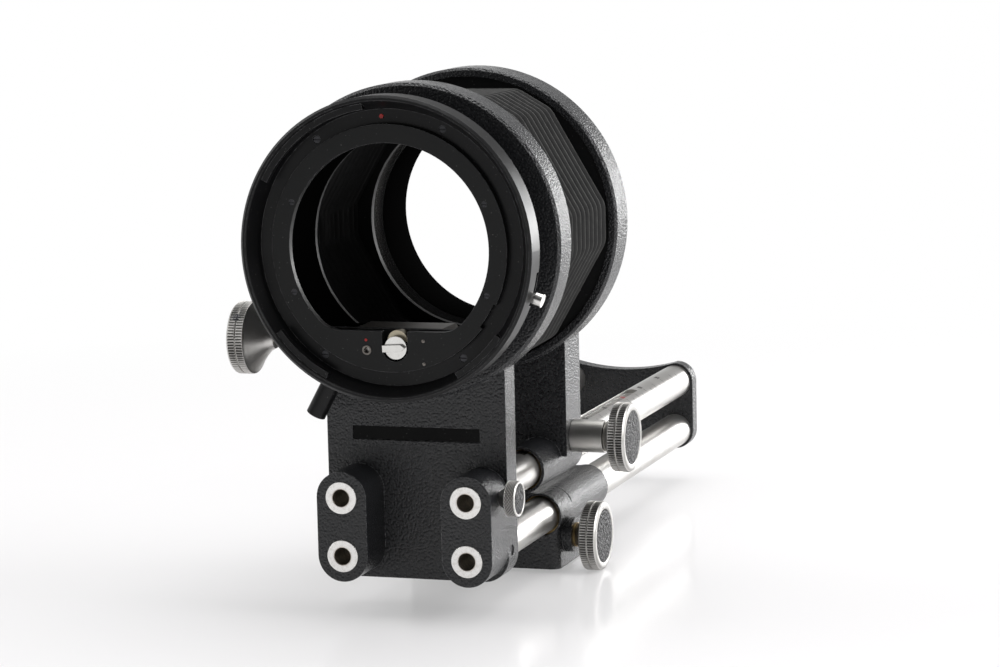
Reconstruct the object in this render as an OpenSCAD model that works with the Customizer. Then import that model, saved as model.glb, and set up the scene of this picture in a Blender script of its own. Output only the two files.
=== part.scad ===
// Macro bellows unit: lens standard, focusing rear standard and tripod block on four rails.
// Origin: centre of the tripod socket, on the underside of the tripod block.
// X runs to the right as seen from the lens, Y runs from the lens towards the camera, Z is up.

/* [Layout] */
// Height of the optical axis above the base
axis_h = 103.5; // [99:0.5:115]
// Distance from the tripod socket forward to the boss faces
front_reach = 89.9; // [84:0.5:100]
// Distance from the tripod socket back to the rear ends of the rails
rail_reach = 126.2; // [118:0.5:160]
// Gap between the two bellows housings at rest
bellows_gap = 42.4; // [38:0.2:46]
// Distance of the front plate's right edge from the middle plane
plate_right = 25.6; // [25.2:0.1:27]
// Distance of the front plate's left edge from the middle plane
plate_left = 27.5; // [26.8:0.1:28.5]
// Distance of the front plate's foot below the lower rails
plate_drop = 8.8; // [7.6:0.1:9.4]

/* [Rails] */
// Outer diameter of a rail
rail_d = 10.8; // [10.2:0.1:11.2]
// Distance of each rail from the middle plane
rail_x = 18.3; // [18:0.1:19.5]
// Height of the lower rails above the base
rail_low_h = 16.2; // [15.5:0.1:19]
// Height of the upper rails above the lower rails
rail_pitch = 16.5; // [16:0.1:19]
// Running clearance between a rail and its bushes, on the radius
rail_fit = 0.05; // [0.03:0.01:0.1]
// Width of the slot that holds a rack
slot_w = 3.8; // [3.7:0.05:4]
// Diameter of the tapped hole in a rail end
rail_tap_d = 3.3; // [2.5:0.1:4]

/* [Front standard] */
// Outer radius of the front housing
housing_r = 44; // [43.6:0.1:47]
// Length of the front housing
housing_t = 10.6; // [9.5:0.1:12]
// Distance of the housing's front face behind the boss faces
housing_back = 10.1; // [9:0.1:11]
// Outer radius of the neck that carries the lens mount
neck_r = 37.5; // [36.5:0.1:39]
// Length of the neck
neck_len = 11.9; // [11:0.1:13]
// Inner radius of the neck and housing
front_bore_r = 31; // [30:0.1:32]
// Distance of the front plate behind the boss faces
boss_proud = 14.6; // [13.5:0.1:16]
// Thickness of the front plate
plate_t = 8.4; // [7.5:0.1:9]
// End radius of the rail bosses
boss_r = 7.3; // [7:0.1:8]
// Length of the nameplate recess
nameplate_l = 37.8; // [30:0.2:40]
// Height of the nameplate recess
nameplate_h = 4; // [3:0.1:5]
// Depth of the nameplate recess
nameplate_deep = 1; // [0.6:0.1:1.5]
// Height of the nameplate above the upper rails
nameplate_rise = 14.1; // [13:0.1:19]
// Distance of the nameplate's middle to the left of the middle plane
nameplate_left = 1; // [0:0.1:2]

/* [Lens mount] */
// Outer radius of the lens mount ring
ring_r = 42; // [41:0.1:43.5]
// Length of the lens mount ring
ring_t = 8; // [7.6:0.1:9]
// Inner radius of the ring's front edge
cup_r = 40.3; // [39.6:0.1:40.6]
// Inner radius of the ring's floor
floor_r = 38; // [37.4:0.1:38.6]
// Depth of the floor behind the front edge
floor_deep = 5.6; // [5.2:0.1:6]
// Radius inside the bayonet lugs
lug_r = 38.4; // [37.8:0.1:38.8]
// Outer radius of the throat plate
throat_plate_r = 34; // [33:0.1:35]
// Height of the throat plate above the floor
throat_plate_rise = 2; // [1.5:0.1:2.5]
// Radius of the throat
throat_r = 28.85; // [28:0.05:29.5]
// Distance from the optical axis down to the throat's flat
chord_drop = 22.7; // [21.5:0.1:23.2]

/* [Lens drive] */
// Distance from the optical axis down to the drive coupling
drive_drop = 27.3; // [27.1:0.1:27.8]
// Radius of the drive coupling
coupling_r = 3.2; // [3:0.05:3.25]
// Radius of the coupling shaft and cocking shaft
drive_shaft_r = 1.6; // [1.4:0.1:1.8]
// Distance of the cocking shaft behind the ring's front edge
drive_back = 16.7; // [16.2:0.1:17.2]
// Pitch radius of the mitre gears at the large end
mitre_r = 3.6; // [3.4:0.1:3.7]
// Number of teeth on each mitre gear
mitre_teeth = 12; // [12:2:12]
// Distance of the cocking knob's outer face from the middle plane
cocking_reach = 50.3; // [49:0.1:54]
// Radius of the cable release socket
cable_r = 2.8; // [2.6:0.1:3.1]
// Direction of the cable release socket round the optical axis
cable_angle = -119; // [-122:1:-115]
// Distance of the cable release socket's tip from the optical axis
cable_reach = 55; // [52:0.1:58]

/* [Knobs] */
// Radius of a focusing knob's rim
knob_r = 10.2; // [9.5:0.1:10.6]
// Thickness of the rim
knob_t = 5.1; // [4.6:0.1:5.4]
// Length of the cone behind the rim
knob_cone = 3; // [2.8:0.1:4]
// Radius of the leather disc in a knob
inlay_r = 7.8; // [7:0.1:8.2]
// Radius of the cross shafts
shaft_r = 1.2; // [1:0.05:1.25]
// Running clearance of the shafts, on the radius
shaft_fit = 0.05; // [0.03:0.01:0.08]
// Module of the racks and pinions
tooth_module = 0.8; // [0.8:0.1:0.8]
// Number of teeth on a pinion
pinion_teeth = 6; // [6:1:6]

/* [Rear standard] */
// Outer radius of the rear ring
rear_r = 44.5; // [43.8:0.1:47]
// Length of the rear ring
rear_t = 11.5; // [11:0.1:13]
// Radius of the rear opening
rear_bore_r = 30.6; // [30:0.1:31.5]
// Width of the rear column
column_w = 53.6; // [52.8:0.1:56]
// Thickness of the rear column
column_t = 14.2; // [13:0.1:16]
// Length of the sleeves on the upper rails
sleeve_len = 38; // [34:0.5:42]
// Outer radius of a sleeve
sleeve_r = 6.9; // [6.7:0.05:7.2]
// Height of the focusing shaft above the upper rails
focus_rise = 6.4; // [6.3:0.05:6.6]
// Distance from the middle plane to the end of the chrome shaft sleeve
focus_sleeve_reach = 36.6; // [34:0.1:40]
// Radius of the chrome shaft sleeve
focus_sleeve_r = 4.8; // [4.2:0.1:5.4]
// Length of the rear camera mount behind the ring
rear_mount_len = 18; // [16:0.1:20]
// Outer radius of the rear camera mount
rear_mount_r = 35.6; // [34.5:0.1:36.5]

/* [Tripod block] */
// Length of the tripod block
block_len = 46; // [40:0.5:52]
// Width of the tripod block's foot
block_w = 47.2; // [46:0.1:50]
// Distance of the tripod shaft below the lower rails
tripod_drop = 7.15; // [7:0.05:7.15]
// Distance of the tripod shaft behind the block's front end
tripod_shaft_in = 8.5; // [8.2:0.1:11]
// Length of the tripod shaft boss beside the block's foot
tripod_boss_len = 2.8; // [2.4:0.1:4]
// Thread diameter of the tripod socket
socket_d = 9.5; // [6.3:0.1:9.6]
// Depth of the tripod socket
socket_deep = 7; // [5:0.1:8]

/* [Bellows] */
// Number of pleats
pleats = 11; // [9:1:12]
// Distance from the axis to the long outer folds
fold_long = 38.6; // [38:0.1:39]
// Distance from the axis to the short outer folds
fold_short = 41.3; // [40.7:0.1:41.6]
// Depth of a pleat
pleat_deep = 5.6; // [5:0.1:6]
// Thickness of the bellows cloth
cloth_t = 0.7; // [0.5:0.1:0.9]

/* [End bracket] */
// Thickness of the end bracket
bracket_t = 5; // [4:0.1:7]
// Corner radius of the end bracket round each rail
bracket_r = 6.2; // [5.9:0.1:7]
// Dip of the saddle in the bracket's top edge
saddle = 2.6; // [1.5:0.1:4]

/* [Hidden] */

// Clearances
// Reach of a cut past the piece that it cuts
cut = 120;
seat_gap = 0.03;
side_gap = 0.1;
eps = 0.01;
fine = 96;

// Heights
low_z = rail_low_h;
up_z = rail_low_h + rail_pitch;
drive_x = 1.2;
drive_z = axis_h - drive_drop;
release_z = drive_z - 0.7;
chord_z = axis_h - chord_drop;
focus_z = up_z + focus_rise;
tripod_z = low_z - tripod_drop;
plate_foot_z = low_z - plate_drop;
plate_top = axis_h - 20;
column_top = axis_h - 22;
plate_corner_r = 7.3;

// Places along the rails
boss_y = -front_reach;
housing_y = boss_y + housing_back;
housing_end = housing_y + housing_t;
plate_y = boss_y + boss_proud;
plate_end = plate_y + plate_t;
neck_y = housing_y - neck_len;
ring_y = neck_y - ring_t;
floor_y = ring_y + floor_deep;
throat_y = floor_y - throat_plate_rise;
rear_y = housing_end + bellows_gap;
rear_end = rear_y + rear_t;
column_y = rear_y + 3.8;
column_end = column_y + column_t;
shaft_y = (column_y + column_end) / 2;
sleeve_y = (rear_y + rear_end) / 2 - sleeve_len / 2;
sleeve_end = sleeve_y + sleeve_len;
tripod_y = tripod_shaft_in - block_len / 2;
rail_end_y = rail_reach;

// Rails and rod sockets
rail_r = rail_d / 2;
rod_socket_r = 4.5;
rod_bore_r = 2.45;
rod_socket_len = 12;
rail_start_y = boss_y + rod_socket_len + 0.5;
rail_signs = [-1, 1];
clamp_y = boss_y + 8.4;
grub_y = plate_y + 3.2;
grub_r = 1.5;

// Travels that the racks cover
focus_forward = 24;
focus_back = 88;
tripod_forward = 36;
tripod_back = 96;

// Teeth
tooth_pitch = PI * tooth_module;
pinion_r = tooth_module * pinion_teeth / 2;
tooth_tip = 0.3;
tooth_root = 0.55;
rack_tip_half = 0.13 * tooth_pitch;
rack_root_half = 0.25 * tooth_pitch;
pinion_tip_half = 0.14 * 360 / pinion_teeth;
pinion_root_half = 0.26 * 360 / pinion_teeth;
pinion_w = 3;
rack_body = 1.65;
rack_spare = 3;
pocket_r = pinion_r + tooth_tip + 0.5;

// Knob details
knob_gap = 0.2;
knob_edge = 0.5;
knob_neck_r = 3.4;
inlay_deep = 0.7;
inlay_rise = 0.1;

// Bellows frames
frame_t = 2;
frame_r = 41.9;
frame_hole_r = 31.2;

// Front gearbox
mitre_face = 2;
gearbox_half_w = 14;
gearbox_end = housing_y + 4;
cover_t = 0.8;
stop_r = 2.9;
stop_z = drive_z + 1.8;
drive_plate_t = 2;
drive_bush_r = 2.4;
knob_x = -cocking_reach;

// Clamp screw
clamp_thread_r = 1.5;
clamp_head_r = 5.1;
clamp_head_t = 3.4;
clamp_collar_r = 2.2;
clamp_collar_end_r = 3.4;
clamp_neck = 2.2;
clamp_x = plate_right + clamp_neck;
clamp_inlay_r = 4.2;
clamp_face = clamp_x + clamp_head_t;

// Lens lock lever
lock_y = floor_y + 0.5;
lock_t = 1.2;
lock_r = 37;
lock_w = 2.2;
lock_turn = 6;
lock_pin = -18;
lock_catch = -35.5;
lock_tail = -40.5;
lock_tip = -13;
lock_stem_r = 1.1;
lock_stem_len = 0.4;
lock_head_r = 1.9;
lock_head_len = 2.2;

// Drive and release
drive_y = ring_y + drive_back;
cocking_cone = 6.2;
cocking_neck_r = 2.9;
neck_foot_x = sqrt(neck_r * neck_r - drive_drop * drive_drop);
bore_foot_x = sqrt(front_bore_r * front_bore_r - drive_drop * drive_drop);
cocking_bush_r = 3;
cable_root_r = 2.4;
cable_root_len = 1.5;
cable_mouth = 5;
cable_mouth_r = 1.6;
plunger_r = 0.88;
plunger_foot = neck_r - 2.5;
coupling_y = throat_y + 0.4;
coupling_t = 1.6;
key_half = 0.95;
key_proud = 1.1;
key_turn = -3;
drive_plate_y = floor_y + 3.15;
release_x = -7;
release_bush_r = 1.3;
release_pin_r = 0.8;
pin_travel = 1.5;
throat_corner_r = 9;
corner_z = throat_corner_r - chord_drop;
corner_x = sqrt(pow(throat_r - throat_corner_r, 2) - corner_z * corner_z);
plate_screw_ring = throat_r + 1.6;
plate_screw_r = 0.8;
plate_screw_spots = [for (a = [-24, 24, 156, -156]) plate_screw_ring * [cos(a), sin(a)]];
mount_screw_ring = (throat_plate_r + floor_r) / 2;
mount_screw_r = 1.1;
mount_screw_spots = [for (a = [64, 125, 236, 304]) mount_screw_ring * [cos(a), sin(a)]];
lug_spans = [[98, 152], [216, 243], [300, 324]];
dot_turn = 92.5;
dot_r = 0.6;
rear_screw_ring = rear_mount_r - 1.2;
rear_screw_r = 0.9;
rear_screw_spots = [for (k = [0:5]) rear_screw_ring * [cos(60 * k), sin(60 * k)]];

// Bearings and bushes
bush_wall = 0.6;
bush_len = 4;
bush_in = 2.4;
washer_t = 0.6;
collar_in = 3;
collar_r = 3.2;
screw_r = 1.6;
screw_len = 7;
screw_sink = 2;
screw_head_len = 1.9;
screw_slot = [5, 1.6, 0.7];
socket_flange_r = 8.5;
socket_flange_t = 1.2;
socket_wall_r = 6.6;

// Derived places of the knobs, racks and bellows
focus_knob_x = focus_sleeve_reach + knob_gap;
tripod_boss_reach = block_w / 2 + tripod_boss_len;
tripod_knob_x = tripod_boss_reach + washer_t + knob_gap;
upper_rack_y = [shaft_y - focus_forward - rack_spare, shaft_y + focus_back + rack_spare];
lower_rack_y = [tripod_y - tripod_forward - rack_spare, tripod_y + tripod_back + rack_spare];
block_top = rail_low_h + 6.6;
foot_top = rail_low_h;
foot_corner_r = 3;
tripod_boss_r = 5.1;
joint_y = 10.5 - block_len / 2;
joint_w = 0.5;
joint_deep = 0.35;
column_foot_z = focus_z - focus_sleeve_r - 0.3;
column_low_z = up_z - sleeve_r + 0.6;
rear_recess = 3.2;
rear_seat = 1.5;
rear_flange_t = rear_mount_len - 6.5;
rear_hole_r = rear_bore_r + 2.4;
rear_spigot_r = rear_bore_r + 2.4;
rear_lug_t = 2.2;
bellows_y = housing_end;
bellows_end = rear_y + rear_recess - frame_t;

// ---------- helpers ----------
module along_y(y0, y1, r, x = 0, z = 0) {
  translate([x, y0, z]) rotate([-90, 0, 0]) cylinder(r = r, h = y1 - y0, $fn = fine);
}
module along_x(x0, x1, r, y = 0, z = 0) {
  translate([x0, y, z]) rotate([0, 90, 0]) cylinder(r = r, h = x1 - x0, $fn = fine);
}
module block(x, y, z) {
  translate([x[0], y[0], z[0]]) cube([x[1] - x[0], y[1] - y[0], z[1] - z[0]]);
}
// Turned part about the Y axis: points are [radius, y]
module turned_y(points, z = 0) {
  translate([0, 0, z]) rotate([-90, 0, 0]) rotate_extrude($fn = fine) polygon(points);
}
// Turned part about the X axis: points are [radius, x]
module turned_x(points, y, z) {
  translate([0, y, z]) rotate([0, 90, 0]) rotate_extrude($fn = fine) polygon(points);
}
// Flat outline in X and Z, extruded along Y from y0 to y1
module slab_y(y0, y1) {
  translate([0, y1, 0]) rotate([90, 0, 0]) linear_extrude(y1 - y0) children();
}
// Stadium outline round two points one above the other
module stadium(x, z0, z1, r) {
  translate([x, z0]) circle(r = r, $fn = fine);
  translate([x, z1]) circle(r = r, $fn = fine);
  translate([x - r, z0]) square([2 * r, z1 - z0]);
}
// Rectangle with all corners round, from plain shapes so that its corners stay true arcs
module round_rect(x0, x1, z0, z1, r) {
  for (x = [x0 + r, x1 - r], z = [z0 + r, z1 - r]) translate([x, z]) circle(r = r, $fn = 48);
  translate([x0 + r, z0]) square([x1 - x0 - 2 * r, z1 - z0]);
  translate([x0, z0 + r]) square([x1 - x0, z1 - z0 - 2 * r]);
}
// Ring sector outline between two radii and two angles, about the origin
module sector(r0, r1, a0, a1) {
  steps = 24;
  polygon(concat([for (i = [0:steps]) let (a = a0 + (a1 - a0) * i / steps) r1 * [cos(a), sin(a)]],
    [for (i = [steps:-1:0]) let (a = a0 + (a1 - a0) * i / steps) r0 * [cos(a), sin(a)]]));
}
function pinion_outline() = [for (k = [0:pinion_teeth - 1]) let (a = 360 / pinion_teeth * k)
  each [for (q = [[-pinion_root_half, -tooth_root], [-pinion_tip_half, tooth_tip],
    [pinion_tip_half, tooth_tip], [pinion_root_half, -tooth_root]])
    (pinion_r + q[1]) * [cos(a + q[0]), sin(a + q[0])]]];
// Pinion on a shaft along X, with one tooth pointing up or down
module pinion(x, y, z, up) {
  translate([x - pinion_w / 2, y, z]) rotate([0, 90, 0])
    difference() {
      rotate(up ? 180 : 0) linear_extrude(pinion_w) polygon(pinion_outline());
      translate([0, 0, -1]) cylinder(r = shaft_r + seat_gap / 3, h = pinion_w + 2, $fn = fine);
    }
}
// Toothed bar along Y: teeth point up from a pitch line at height h, and gaps meet place y
module rack(x, y_from, y_to, y, h) {
  first = ceil((y_from - y) / tooth_pitch);
  last = floor((y_to - y) / tooth_pitch) - 1;
  teeth = [for (k = [first:last]) let (c = y + (k + 0.5) * tooth_pitch)
    each [[c - rack_root_half, h - tooth_root], [c - rack_tip_half, h + tooth_tip],
      [c + rack_tip_half, h + tooth_tip], [c + rack_root_half, h - tooth_root]]];
  base = h - tooth_root - rack_body;
  outline = concat([[y_from, base], [y_from, h - tooth_root]], teeth,
    [[y_to, h - tooth_root], [y_to, base]]);
  w = slot_w - 2 * side_gap;
  translate([x - w / 2, 0, 0]) rotate([90, 0, 90]) linear_extrude(w) polygon(outline);
}
module rack_slot(x, y_from, y_to, h) {
  base = h - tooth_root - rack_body;
  block([x - slot_w / 2, x + slot_w / 2], [y_from - side_gap, y_to + side_gap],
    [base, rail_r + 1]);
}

// ---------- front standard ----------
module cable_frame() {
  translate([0, (neck_y + housing_y) / 2, axis_h]) rotate([0, 90 - cable_angle, 0]) children();
}
module front_standard() {
  color("#1d1e20") difference() {
    union() {
      turned_y([[front_bore_r, neck_y], [neck_r, neck_y], [neck_r, housing_y],
        [housing_r - 0.8, housing_y], [housing_r, housing_y + 0.8], [housing_r, housing_end - 0.6],
        [housing_r - 0.6, housing_end], [front_bore_r, housing_end]], axis_h);
      difference() {
        slab_y(plate_y, plate_end) difference() {
          round_rect(-plate_left, plate_right, plate_foot_z, plate_top, plate_corner_r);
          translate([0, axis_h]) circle(r = front_bore_r + 3, $fn = fine);
        }
        // the bellows side of the plate is cut back to the housing
        along_y(housing_end, plate_end + 1, housing_r - 0.6, 0, axis_h);
      }
      for (s = rail_signs) slab_y(boss_y, plate_y + 1) stadium(s * rail_x, low_z, up_z, boss_r);
      // floor of the mount below the flat of the throat
      slab_y(gearbox_end - 2, gearbox_end) intersection() {
        translate([0, axis_h]) circle(r = front_bore_r + 1, $fn = fine);
        translate([-cut, chord_z - cover_t - 0.1 - cut]) square([2 * cut, cut]);
      }
    }
    // seats of the rails and the accessory rod sockets
    for (s = rail_signs, z = [low_z, up_z]) {
      along_y(rail_start_y, plate_end + 1, rail_r + seat_gap, s * rail_x, z);
      along_y(boss_y - 1, rail_start_y + eps, rod_socket_r + seat_gap, s * rail_x, z);
    }
    // recess for the front frame of the bellows
    along_y(housing_end - frame_t, housing_end + 1, frame_r + side_gap, 0, axis_h);
    // nameplate recess
    nameplate_block(0, plate_y - 1, plate_y + nameplate_deep);
    // cocking shaft, cable release and clamp screw
    along_x(-neck_r - 1, -bore_foot_x + 6, cocking_bush_r + seat_gap, drive_y, drive_z);
    cable_frame() translate([0, 0, front_bore_r - 4])
      cylinder(r = cable_root_r + seat_gap, h = neck_r - front_bore_r + 6, $fn = 48);
    along_x(rail_x, cut, clamp_thread_r + seat_gap, clamp_y, up_z);
    for (s = rail_signs)
      along_x(s > 0 ? rail_x : -cut, s > 0 ? cut : -rail_x, grub_r + seat_gap, grub_y, low_z);
  }
}

module dot_place() {
  translate([0, floor_y, axis_h]) rotate([0, -dot_turn, 0]) translate([mount_screw_ring, 0, 0])
    rotate([-90, 0, 0]) children();
}
module lens_mount_ring() {
  color("#141416") difference() {
    union() {
      turned_y([[throat_plate_r - 4, floor_y], [floor_r, floor_y], [cup_r, ring_y + 0.4],
        [cup_r + 0.3, ring_y], [ring_r - 0.7, ring_y], [ring_r, ring_y + 0.7],
        [ring_r, neck_y - 0.4], [ring_r - 0.4, neck_y], [throat_plate_r - 4, neck_y]], axis_h);
      for (span = lug_spans) translate([0, 0, axis_h]) slab_y(ring_y + 0.9, ring_y + 2.9)
        sector(lug_r, cup_r - 0.1, span[0], span[1]);
    }
    // flat foot of the mount: the drive shows through it
    slab_y(floor_y - 1, neck_y + 1) intersection() {
      translate([0, axis_h]) circle(r = throat_plate_r - 2, $fn = fine);
      translate([-cut, chord_z - 2 - cut]) square([2 * cut, cut]);
    }
    // slot of the lens lock lever
    translate([0, 0, axis_h]) slab_y(lock_y - 0.15, lock_y + lock_t + 0.15) {
      sector(lock_r - 0.2, lock_r + lock_w + 0.2, lock_tail - 2, lock_tip + lock_turn + 1);
      sector(lock_r, ring_r + 2, lock_pin - 3.5, lock_pin + 3.5 + lock_turn);
      sector(throat_plate_r + 0.2, lock_r + 1, lock_catch - 3.5, lock_catch + 3.5 + lock_turn);
    }
    for (p = mount_screw_spots) along_y(floor_y - 1, floor_y + 1.6, mount_screw_r, p[0], axis_h + p[1]);
    dot_place() translate([0, 0, -1]) cylinder(r = dot_r + 0.02, h = 1.5, $fn = 32);
  }
}

// Round opening with a flat foot, its two corners round
module throat_outline() {
  difference() {
    circle(r = throat_r, $fn = fine);
    translate([-cut, -chord_drop - cut]) square([2 * cut, cut]);
    for (s = rail_signs)
      polygon([[s * corner_x, corner_z], [s * corner_x, -cut], [s * corner_x * cut / -corner_z, -cut]]);
  }
  for (s = rail_signs) translate([s * corner_x, corner_z]) circle(r = throat_corner_r, $fn = fine);
}
module throat_plate() {
  color("#1b1b1d") difference() {
    slab_y(throat_y, floor_y) difference() {
      translate([0, axis_h]) circle(r = throat_plate_r, $fn = fine);
      translate([0, axis_h]) throat_outline();
      // notch round the drive coupling
      translate([drive_x - coupling_r - 0.5, drive_z - 1.5])
        square([2 * coupling_r + 1, chord_z - drive_z + 3]);
      translate([drive_x, drive_z]) circle(r = coupling_r + 0.5, $fn = 48);
      // window of the lens lock catch
      translate([0, axis_h])
        sector(throat_plate_r - 0.8, throat_plate_r + 1, lock_catch - 3.5, lock_catch + 3.5 + lock_turn);
    }
    along_y(throat_y - 1, floor_y + 1, release_bush_r + seat_gap, release_x, release_z);
    for (p = plate_screw_spots) along_y(throat_y - 1, floor_y + 1, plate_screw_r, p[0], axis_h + p[1]);
  }
}

module mount_screws() {
  color("#2a2a2c") {
    for (p = mount_screw_spots) translate([p[0], floor_y + 0.15, axis_h + p[1]])
      rotate([-90, 0, 0]) slotted_head(mount_screw_r - 0.05, 1.4);
    for (p = plate_screw_spots) translate([p[0], throat_y + 0.1, axis_h + p[1]])
      rotate([-90, 0, 0]) slotted_head(plate_screw_r - 0.04, 1.8);
  }
}
module slotted_head(r, h) {
  difference() {
    cylinder(r = r, h = h, $fn = 32);
    translate([-r, -0.12, -1]) cube([2 * r, 0.24, 1.35]);
  }
}
module index_dot() {
  color("#a01612") dot_place() translate([0, 0, -0.25]) cylinder(r = dot_r, h = 0.74, $fn = 32);
}

module lens_lock_lever() {
  color("#c9c9c6") translate([0, 0, axis_h]) {
    slab_y(lock_y, lock_y + lock_t) {
      sector(lock_r, lock_r + lock_w, lock_tail, lock_tip);
      sector(throat_plate_r + 0.5, lock_r + 0.2, lock_catch - 2, lock_catch + 2);
      sector(lock_r + lock_w - 0.2, ring_r + 1, lock_pin - 2, lock_pin + 2);
    }
    translate([0, lock_y + lock_t / 2, 0]) rotate([0, -lock_pin, 0]) translate([ring_r + 0.4, 0, 0])
      rotate([0, 90, 0]) {
        cylinder(r = lock_stem_r, h = lock_stem_len + eps, $fn = 48);
        translate([0, 0, lock_stem_len]) cylinder(r = lock_head_r, h = lock_head_len, $fn = 48);
      }
  }
}

// ---------- lens drive ----------
module drive_coupling() {
  color("#d6d3cc") {
    along_y(coupling_y, coupling_y + coupling_t, coupling_r, drive_x, drive_z);
    along_y(coupling_y + coupling_t - eps, drive_y - mitre_r + mitre_face * 0.6, drive_shaft_r, drive_x,
      drive_z);
    // driving key across the face
    translate([drive_x, 0, drive_z]) rotate([0, key_turn, 0]) slab_y(coupling_y - key_proud, coupling_y + eps)
      polygon([[-coupling_r - 0.3, -key_half], [coupling_r - 1.4, -key_half], [coupling_r - 0.3, 0],
        [coupling_r - 1.4, key_half], [-coupling_r - 0.3, key_half]]);
  }
}
// Plate across the foot of the neck that carries the coupling's bush
module drive_plate() {
  color("#2b2a29") difference() {
    slab_y(drive_plate_y, drive_plate_y + drive_plate_t) intersection() {
      translate([0, axis_h]) circle(r = front_bore_r - side_gap, $fn = fine);
      translate([-cut, chord_z - cut]) square([2 * cut, cut]);
    }
    along_y(drive_plate_y - 1, drive_plate_y + 4, drive_bush_r + seat_gap, drive_x, drive_z);
    along_y(drive_plate_y - 1, drive_plate_y + 4, release_bush_r + seat_gap, release_x, release_z);
  }
}
module coupling_bush() {
  color("#b08a48") difference() {
    along_y(drive_plate_y, drive_plate_y + drive_plate_t + 0.6, drive_bush_r, drive_x, drive_z);
    along_y(drive_plate_y - 1, drive_plate_y + 4, drive_shaft_r + shaft_fit, drive_x, drive_z);
  }
}
// Drum behind the coupling, higher than the shaft that passes it
module coupling_stop() {
  color("#b9a982") difference() {
    along_y(coupling_y + coupling_t + 0.15, drive_plate_y - seat_gap, stop_r, drive_x, stop_z);
    along_y(coupling_y, drive_plate_y + 1, drive_shaft_r + shaft_fit, drive_x, drive_z);
  }
}
// Mitre gear, small end towards +Z, its pitch cone's tip at the origin
module mitre_gear(bore) {
  h = 360 / mitre_teeth;
  core = mitre_r - 0.75;
  rise = mitre_face * 0.62;
  rotate_extrude($fn = fine) polygon([[bore, -mitre_r - 0.2], [core, -mitre_r - 0.2],
    [core, -mitre_r + 0.2], [core - rise, -mitre_r + 0.2 + rise], [bore, -mitre_r + 0.2 + rise]]);
  for (k = [0:mitre_teeth - 1]) rotate(k * h) mitre_tooth();
}
// One tooth: a wedge that narrows towards the tip of the pitch cone
module mitre_tooth() {
  function at(rad, drop, half) = [[rad, -half, drop], [rad, half, drop]];
  big = mitre_r;
  small = mitre_r - mitre_face * 0.62;
  points = concat(
    at(big - 0.9, -big, 0.42), at(big + 0.22, -big + 0.22, 0.2), at(big - 0.9, -big - 0.1, 0.42),
    at(small - 0.9, -small, 0.3), at(small + 0.12, -small + 0.12, 0.14));
  hull() polyhedron(points, [[0, 1, 2]]);
}
module coupling_gear() {
  color("#8d8a80") translate([drive_x, drive_y, drive_z]) rotate([-90, 0, 0])
    mitre_gear(drive_shaft_r + seat_gap / 3);
}
module cocking_gear() {
  color("#8d8a80") translate([drive_x, drive_y, drive_z]) rotate([0, 90, 0])
    rotate(180 / mitre_teeth)
    mitre_gear(drive_shaft_r + seat_gap / 3);
}
module cocking_shaft() {
  color("#8f8f8c")
    along_x(knob_x + knob_t, drive_x + mitre_face * 0.6 - mitre_r, drive_shaft_r, drive_y, drive_z);
}
module cocking_shaft_bush() {
  color("#b08a48") difference() {
    along_x(-neck_foot_x - 3.4, -neck_foot_x + 6, cocking_bush_r, drive_y, drive_z);
    along_x(-cut, 0, drive_shaft_r + shaft_fit, drive_y, drive_z);
  }
}
module gearbox_cover() {
  foot = 1.6;
  color("#6d6a64") slab_y(drive_plate_y + drive_plate_t, gearbox_end - 2) difference() {
    intersection() {
      translate([0, axis_h]) circle(r = front_bore_r - side_gap, $fn = fine);
      translate([0, chord_z - foot]) polygon([[-gearbox_half_w, 0], [gearbox_half_w, 0],
        [gearbox_half_w - foot, foot], [foot - gearbox_half_w, foot]]);
    }
    // hollow side of the cover
    inner = gearbox_half_w - cover_t;
    roof = foot - cover_t + 1;
    translate([0, chord_z - foot - 1])
      polygon([[-inner, 0], [inner, 0], [inner - foot, roof], [foot - inner, roof]]);
  }
}
module cable_socket() {
  color("#17171a") cable_frame() difference() {
    union() {
      translate([0, 0, neck_r - cable_root_len])
        cylinder(r = cable_root_r, h = cable_root_len + 0.8, $fn = 64);
      translate([0, 0, neck_r + 0.2]) cylinder(r = cable_r, h = cable_reach - neck_r - 0.2, $fn = 64);
    }
    translate([0, 0, neck_r - 4]) cylinder(r = plunger_r + 0.07, h = cut, $fn = 48);
    translate([0, 0, cable_reach - cable_mouth]) cylinder(r = cable_mouth_r, h = cut, $fn = 48);
  }
}
module release_plunger() {
  color("#a9a9a6") cable_frame() {
    translate([0, 0, plunger_foot])
      cylinder(r = plunger_r, h = cable_reach - cable_mouth - 1 - plunger_foot, $fn = 32);
  }
}
module release_pin_bush() {
  color("#55524c") difference() {
    along_y(throat_y - 0.2, drive_plate_y + drive_plate_t, release_bush_r, release_x, release_z);
    along_y(throat_y - 1, drive_plate_y + 4, release_pin_r + shaft_fit, release_x, release_z);
  }
}
module release_pin() {
  color("#a9a9a6")
    along_y(throat_y + pin_travel, drive_plate_y + drive_plate_t + 3, release_pin_r, release_x, release_z);
}

// Block in the place of the nameplate, smaller by a gap all round
module nameplate_block(gap, y0, y1) {
  half = nameplate_l / 2 - gap;
  foot = up_z + nameplate_rise;
  block([-nameplate_left - half, half - nameplate_left], [y0, y1], [foot + gap, foot + nameplate_h - gap]);
}
module nameplate() {
  back = plate_y + nameplate_deep;
  color("#26262a") nameplate_block(side_gap, back - 0.6, back);
}

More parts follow.
